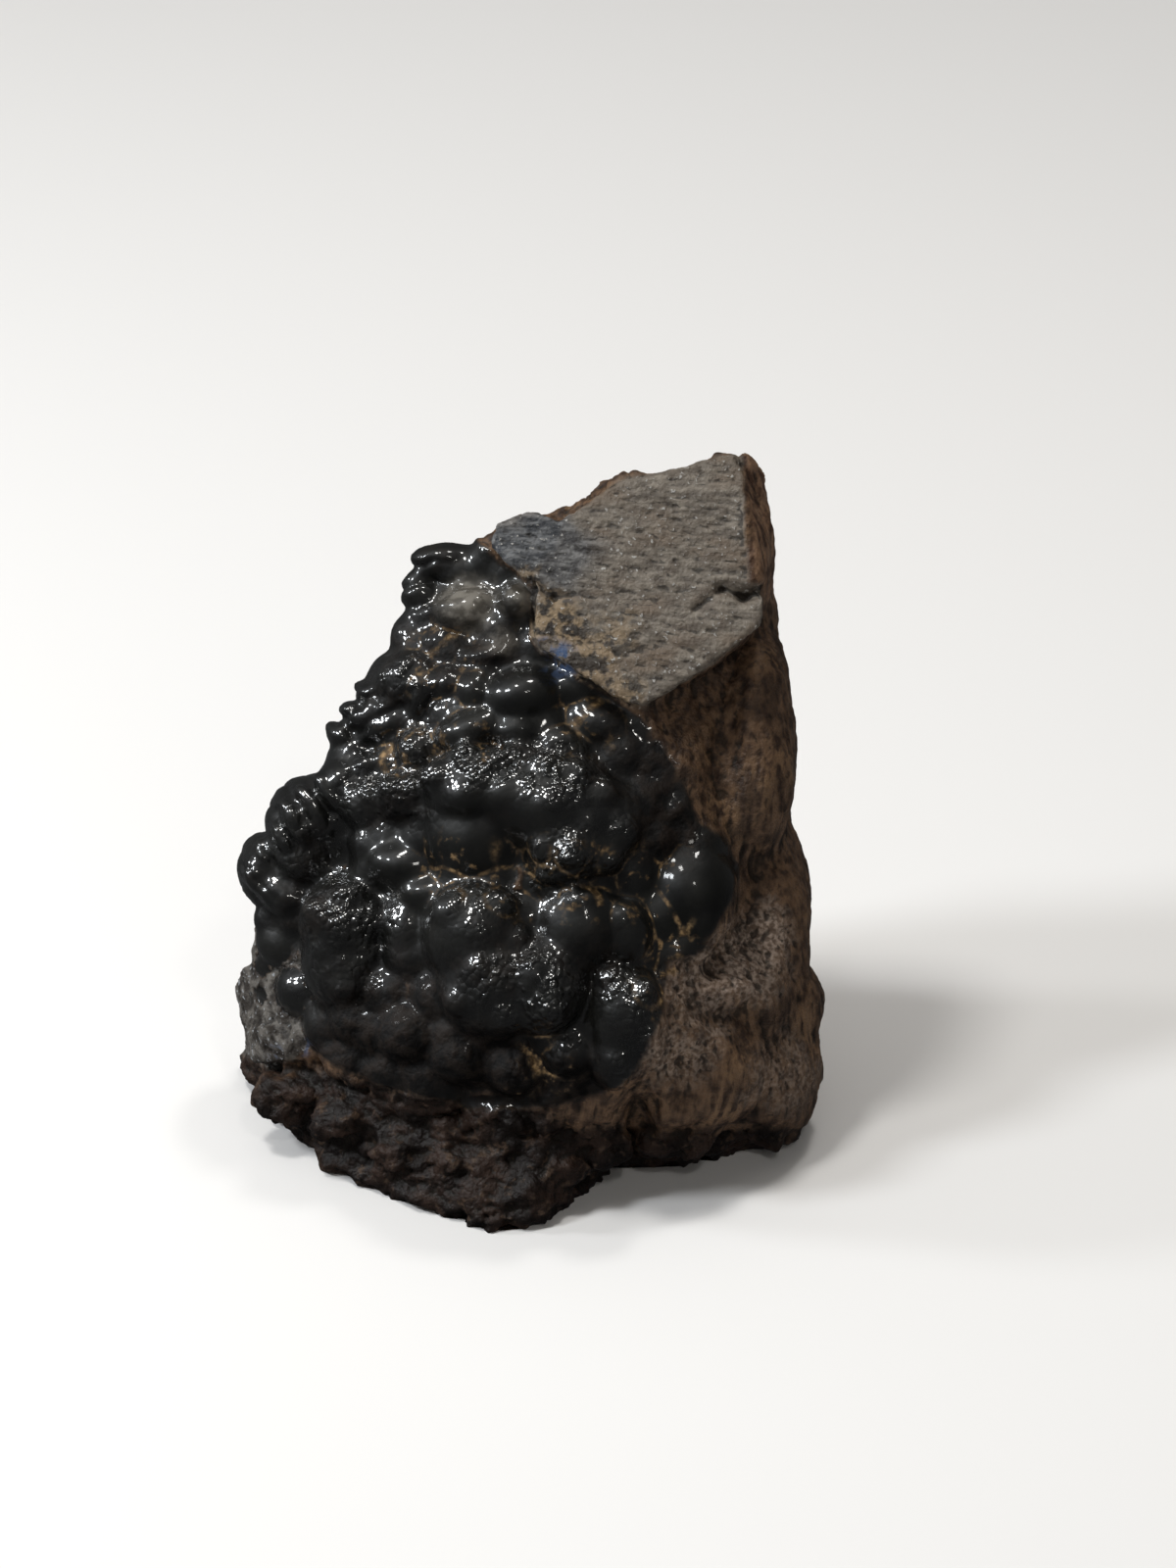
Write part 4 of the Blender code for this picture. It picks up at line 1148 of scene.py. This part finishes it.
level_streaks = grain(0.6, (3.4, 1.0, 1.0), (SHOW_LEAN, 0.12, 0.0), 6.0)
level_bands = grain(4.0, (2.0, 1.0, 1.0), (SHOW_LEAN, 0.2, 0.0), 4.0)
down_streaks = grain(0.8, (1.0, 1.0, 7.0), (0.0, 0.14, 0.0), 6.0)
down_bands = grain(4.0, (1.0, 1.0, 3.0), (0.0, 0.18, 0.0), 4.0)
blotches = grain(4.0)
specks = grain(0.5, detail=3.0)
freckles = grain(1.3)
print("Nodes so far:", len(nodes))

# %% Colour of the plate
def two_tone(pattern, low, high, dark, light):
    """Dark where the pattern is below low, light where it is above high."""
    return blend(between(pattern, low, high), dark, light)


plate_colour = two_tone(level_streaks, 0.28, 0.72, (0.075, 0.062, 0.050), (0.185, 0.160, 0.130))
plate_colour = two_tone(level_bands, 0.48, 0.68, plate_colour, (0.120, 0.090, 0.065))
dark_freckles = times(between(freckles, 0.52, 0.66), 0.5)
plate_colour = blend(dark_freckles, plate_colour, (0.070, 0.053, 0.040))
scratched = two_tone(level_streaks, 0.40, 0.66, (0.028, 0.030, 0.034), (0.120, 0.122, 0.125))
plate_colour = blend(stored("scratched"), plate_colour, scratched)
mottled = two_tone(freckles, 0.42, 0.56, (0.022, 0.017, 0.013), (0.200, 0.145, 0.088))
plate_colour = blend(stored("mottled"), plate_colour, mottled)
# Painted glints: light grey specks on the plate.
plate_colour = two_tone(specks, 0.62, 0.72, plate_colour, (0.32, 0.31, 0.29))
print("Nodes so far:", len(nodes))

# %% Colour of the side
side_pattern = plus(times(down_streaks, 0.5), times(freckles, 0.5))
side_colour = two_tone(side_pattern, 0.36, 0.62, (0.028, 0.015, 0.009), (0.120, 0.069, 0.038))
tan_streaks = times(between(down_bands, 0.50, 0.70), between(down_streaks, 0.42, 0.58))
side_colour = blend(tan_streaks, side_colour, (0.150, 0.088, 0.046))
dark_blotches = times(between(blotches, 0.50, 0.70), 0.7)
side_colour = blend(dark_blotches, side_colour, (0.030, 0.018, 0.012))
# The greyish patch is rough, lighter ore; its light specks are partly painted glints.
greyish = two_tone(specks, 0.38, 0.64, (0.095, 0.066, 0.048), (0.300, 0.235, 0.190))
side_colour = blend(times(stored("greyish"), 0.8), side_colour, greyish)
print("Nodes so far:", len(nodes))

# %% Colour of the foot, the chip and the edge, and all the broken rock
foot_colour = two_tone(blotches, 0.40, 0.64, (0.006, 0.003, 0.002), (0.026, 0.013, 0.008))
foot_colour = two_tone(freckles, 0.56, 0.68, foot_colour, (0.052, 0.031, 0.019))
chip_colour = two_tone(freckles, 0.38, 0.64, (0.027, 0.022, 0.018), (0.116, 0.106, 0.094))
# Painted glints: pale bluish-grey specks on the chipped patch.
chip_colour = two_tone(specks, 0.60, 0.70, chip_colour, (0.24, 0.25, 0.26))
edge_colour = two_tone(side_pattern, 0.38, 0.62, (0.052, 0.025, 0.014), (0.190, 0.112, 0.066))

rock_colour = blend(stored("plate"), side_colour, plate_colour)
rock_colour = blend(stored("edge"), rock_colour, edge_colour)
rock_colour = blend(stored("foot"), rock_colour, foot_colour)
rock_colour = blend(stored("chip"), rock_colour, chip_colour)
# Painted shade: the rock's colour turns near black in nooks.
painted_nook_shade = times(between(stored("nook"), 0.58, 0.95), 0.75)
rock_colour = blend(painted_nook_shade, rock_colour, (0.008, 0.006, 0.004))
print("Nodes so far:", len(nodes))

# %% Colour of the crust
crust_colour = two_tone(blotches, 0.35, 0.70, (0.0022, 0.0022, 0.0018), (0.0062, 0.0062, 0.0050))
# Painted shade and dust: the crust turns near-black brown in the recess under the lower lobes, where
# shade is painted, and in random patches of dust.
dust_and_shade_share = times(between(grain(7.0, detail=5.0), 0.50, 0.72), 0.5)
dust_and_shade_share = calc("MAXIMUM", dust_and_shade_share, stored("dust_and_shade"))
dust_and_shade_colour = two_tone(freckles, 0.38, 0.62, (0.0015, 0.0008, 0.0005), (0.009, 0.005, 0.0028))
crust_colour = blend(dust_and_shade_share, crust_colour, dust_and_shade_colour)
pale_colour = two_tone(freckles, 0.40, 0.60, (0.070, 0.062, 0.050), (0.170, 0.155, 0.132))
crust_colour = blend(times(stored("pale"), 0.85), crust_colour, pale_colour)
print("Nodes so far:", len(nodes))

# %% Ochre and painted blue glints, and all colours together
thin_creases = times(between(stored("crease"), 0.45, 0.85), between(grain(2.5), 0.40, 0.60))
in_creases = times(thin_creases, stored("ochre"))
in_spots = times(stored("ochre"), between(freckles, 0.58, 0.72))
ochre_share = calc("MAXIMUM", in_creases, in_spots)
ochre = two_tone(specks, 0.40, 0.65, (0.085, 0.050, 0.020), (0.290, 0.185, 0.085))
colour = blend(stored("crust"), rock_colour, crust_colour)
colour = blend(ochre_share, colour, ochre)
# Painted glints: small blue spots blended into the colour.
painted_blue_glint = times(stored("blue"), between(freckles, 0.46, 0.56))
colour = blend(painted_blue_glint, colour, (0.040, 0.068, 0.135))
print("Nodes so far:", len(nodes))

# %% Gloss
CRUST_ROUGH = 0.46
DUSTY_ROUGH = 0.70
ROCK_ROUGH = (0.45, 0.75)
FULL_COAT = 0.9
SATIN_CUT = 0.7

clean = minus(1.0, ochre_share, clamp=True)
gloss = times(stored("crust"), clean)
crust_rough = level(dust_and_shade_share, CRUST_ROUGH, DUSTY_ROUGH)
crust_rough = plus(crust_rough, times(specks, 0.06))
rock_rough = level(specks, *ROCK_ROUGH)
rough = level(gloss, rock_rough, crust_rough)
satin_cut = times(stored("satin"), SATIN_CUT)
coat = times(gloss, minus(1.0, dust_and_shade_share, clamp=True))
coat = times(coat, minus(FULL_COAT, satin_cut))
feed(shader, {"Base Color": colour, "Roughness": rough, "IOR": 1.5, "Specular IOR Level": 0.3})
feed(shader, {"Coat Weight": coat, "Coat Roughness": 0.09, "Coat IOR": 1.8})
print("Nodes so far:", len(nodes))

# %% Relief finer than the mesh
FINE_BERRY = 0.75
FINE_BERRY_DEPTH = 0.42
FINE_ROCK_DEPTH = 0.38
LEAST_BERRIES = 0.06


def relief(height, depth, **others):
    """A normal bumped by a height from 0 to 1 that is depth millimetres deep."""
    inputs = {"Height": height, "Distance": depth * MM, "Strength": 1.0, **others}
    return new_node("Bump", inputs).outputs["Normal"]


berry_cells = cells(FINE_BERRY)
berry_height = minus(1.0, times(berry_cells, berry_cells), clamp=True)
patchy = between(grain(2.2, detail=2.0), 0.36, 0.62)
berry_share = times(plus(times(stored("bumpy"), 1.0 - LEAST_BERRIES), LEAST_BERRIES), patchy)
berry_share = times(plus(berry_share, LEAST_BERRIES), stored("crust"))
berry_share = times(berry_share, minus(1.0, satin_cut))
fine_berries = relief(times(berry_height, berry_share), FINE_BERRY_DEPTH)

fibres = level(stored("plate"), down_streaks, level_streaks)
rock_height = plus(times(fibres, 0.4), times(specks, 0.7))
rock_height = times(rock_height, minus(1.0, stored("crust")))
dull_height = times(times(freckles, stored("dust_and_shade")), 1.2)
fine_rock = relief(plus(rock_height, dull_height), FINE_ROCK_DEPTH, Normal=fine_berries)
feed(shader, {"Normal": fine_rock, "Coat Normal": fine_berries})
stone.data.materials.clear()
stone.data.materials.append(finish)
print("Nodes in the finish:", len(nodes))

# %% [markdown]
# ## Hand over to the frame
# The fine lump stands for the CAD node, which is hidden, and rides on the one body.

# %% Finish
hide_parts("hematite")
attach(stone, "root")
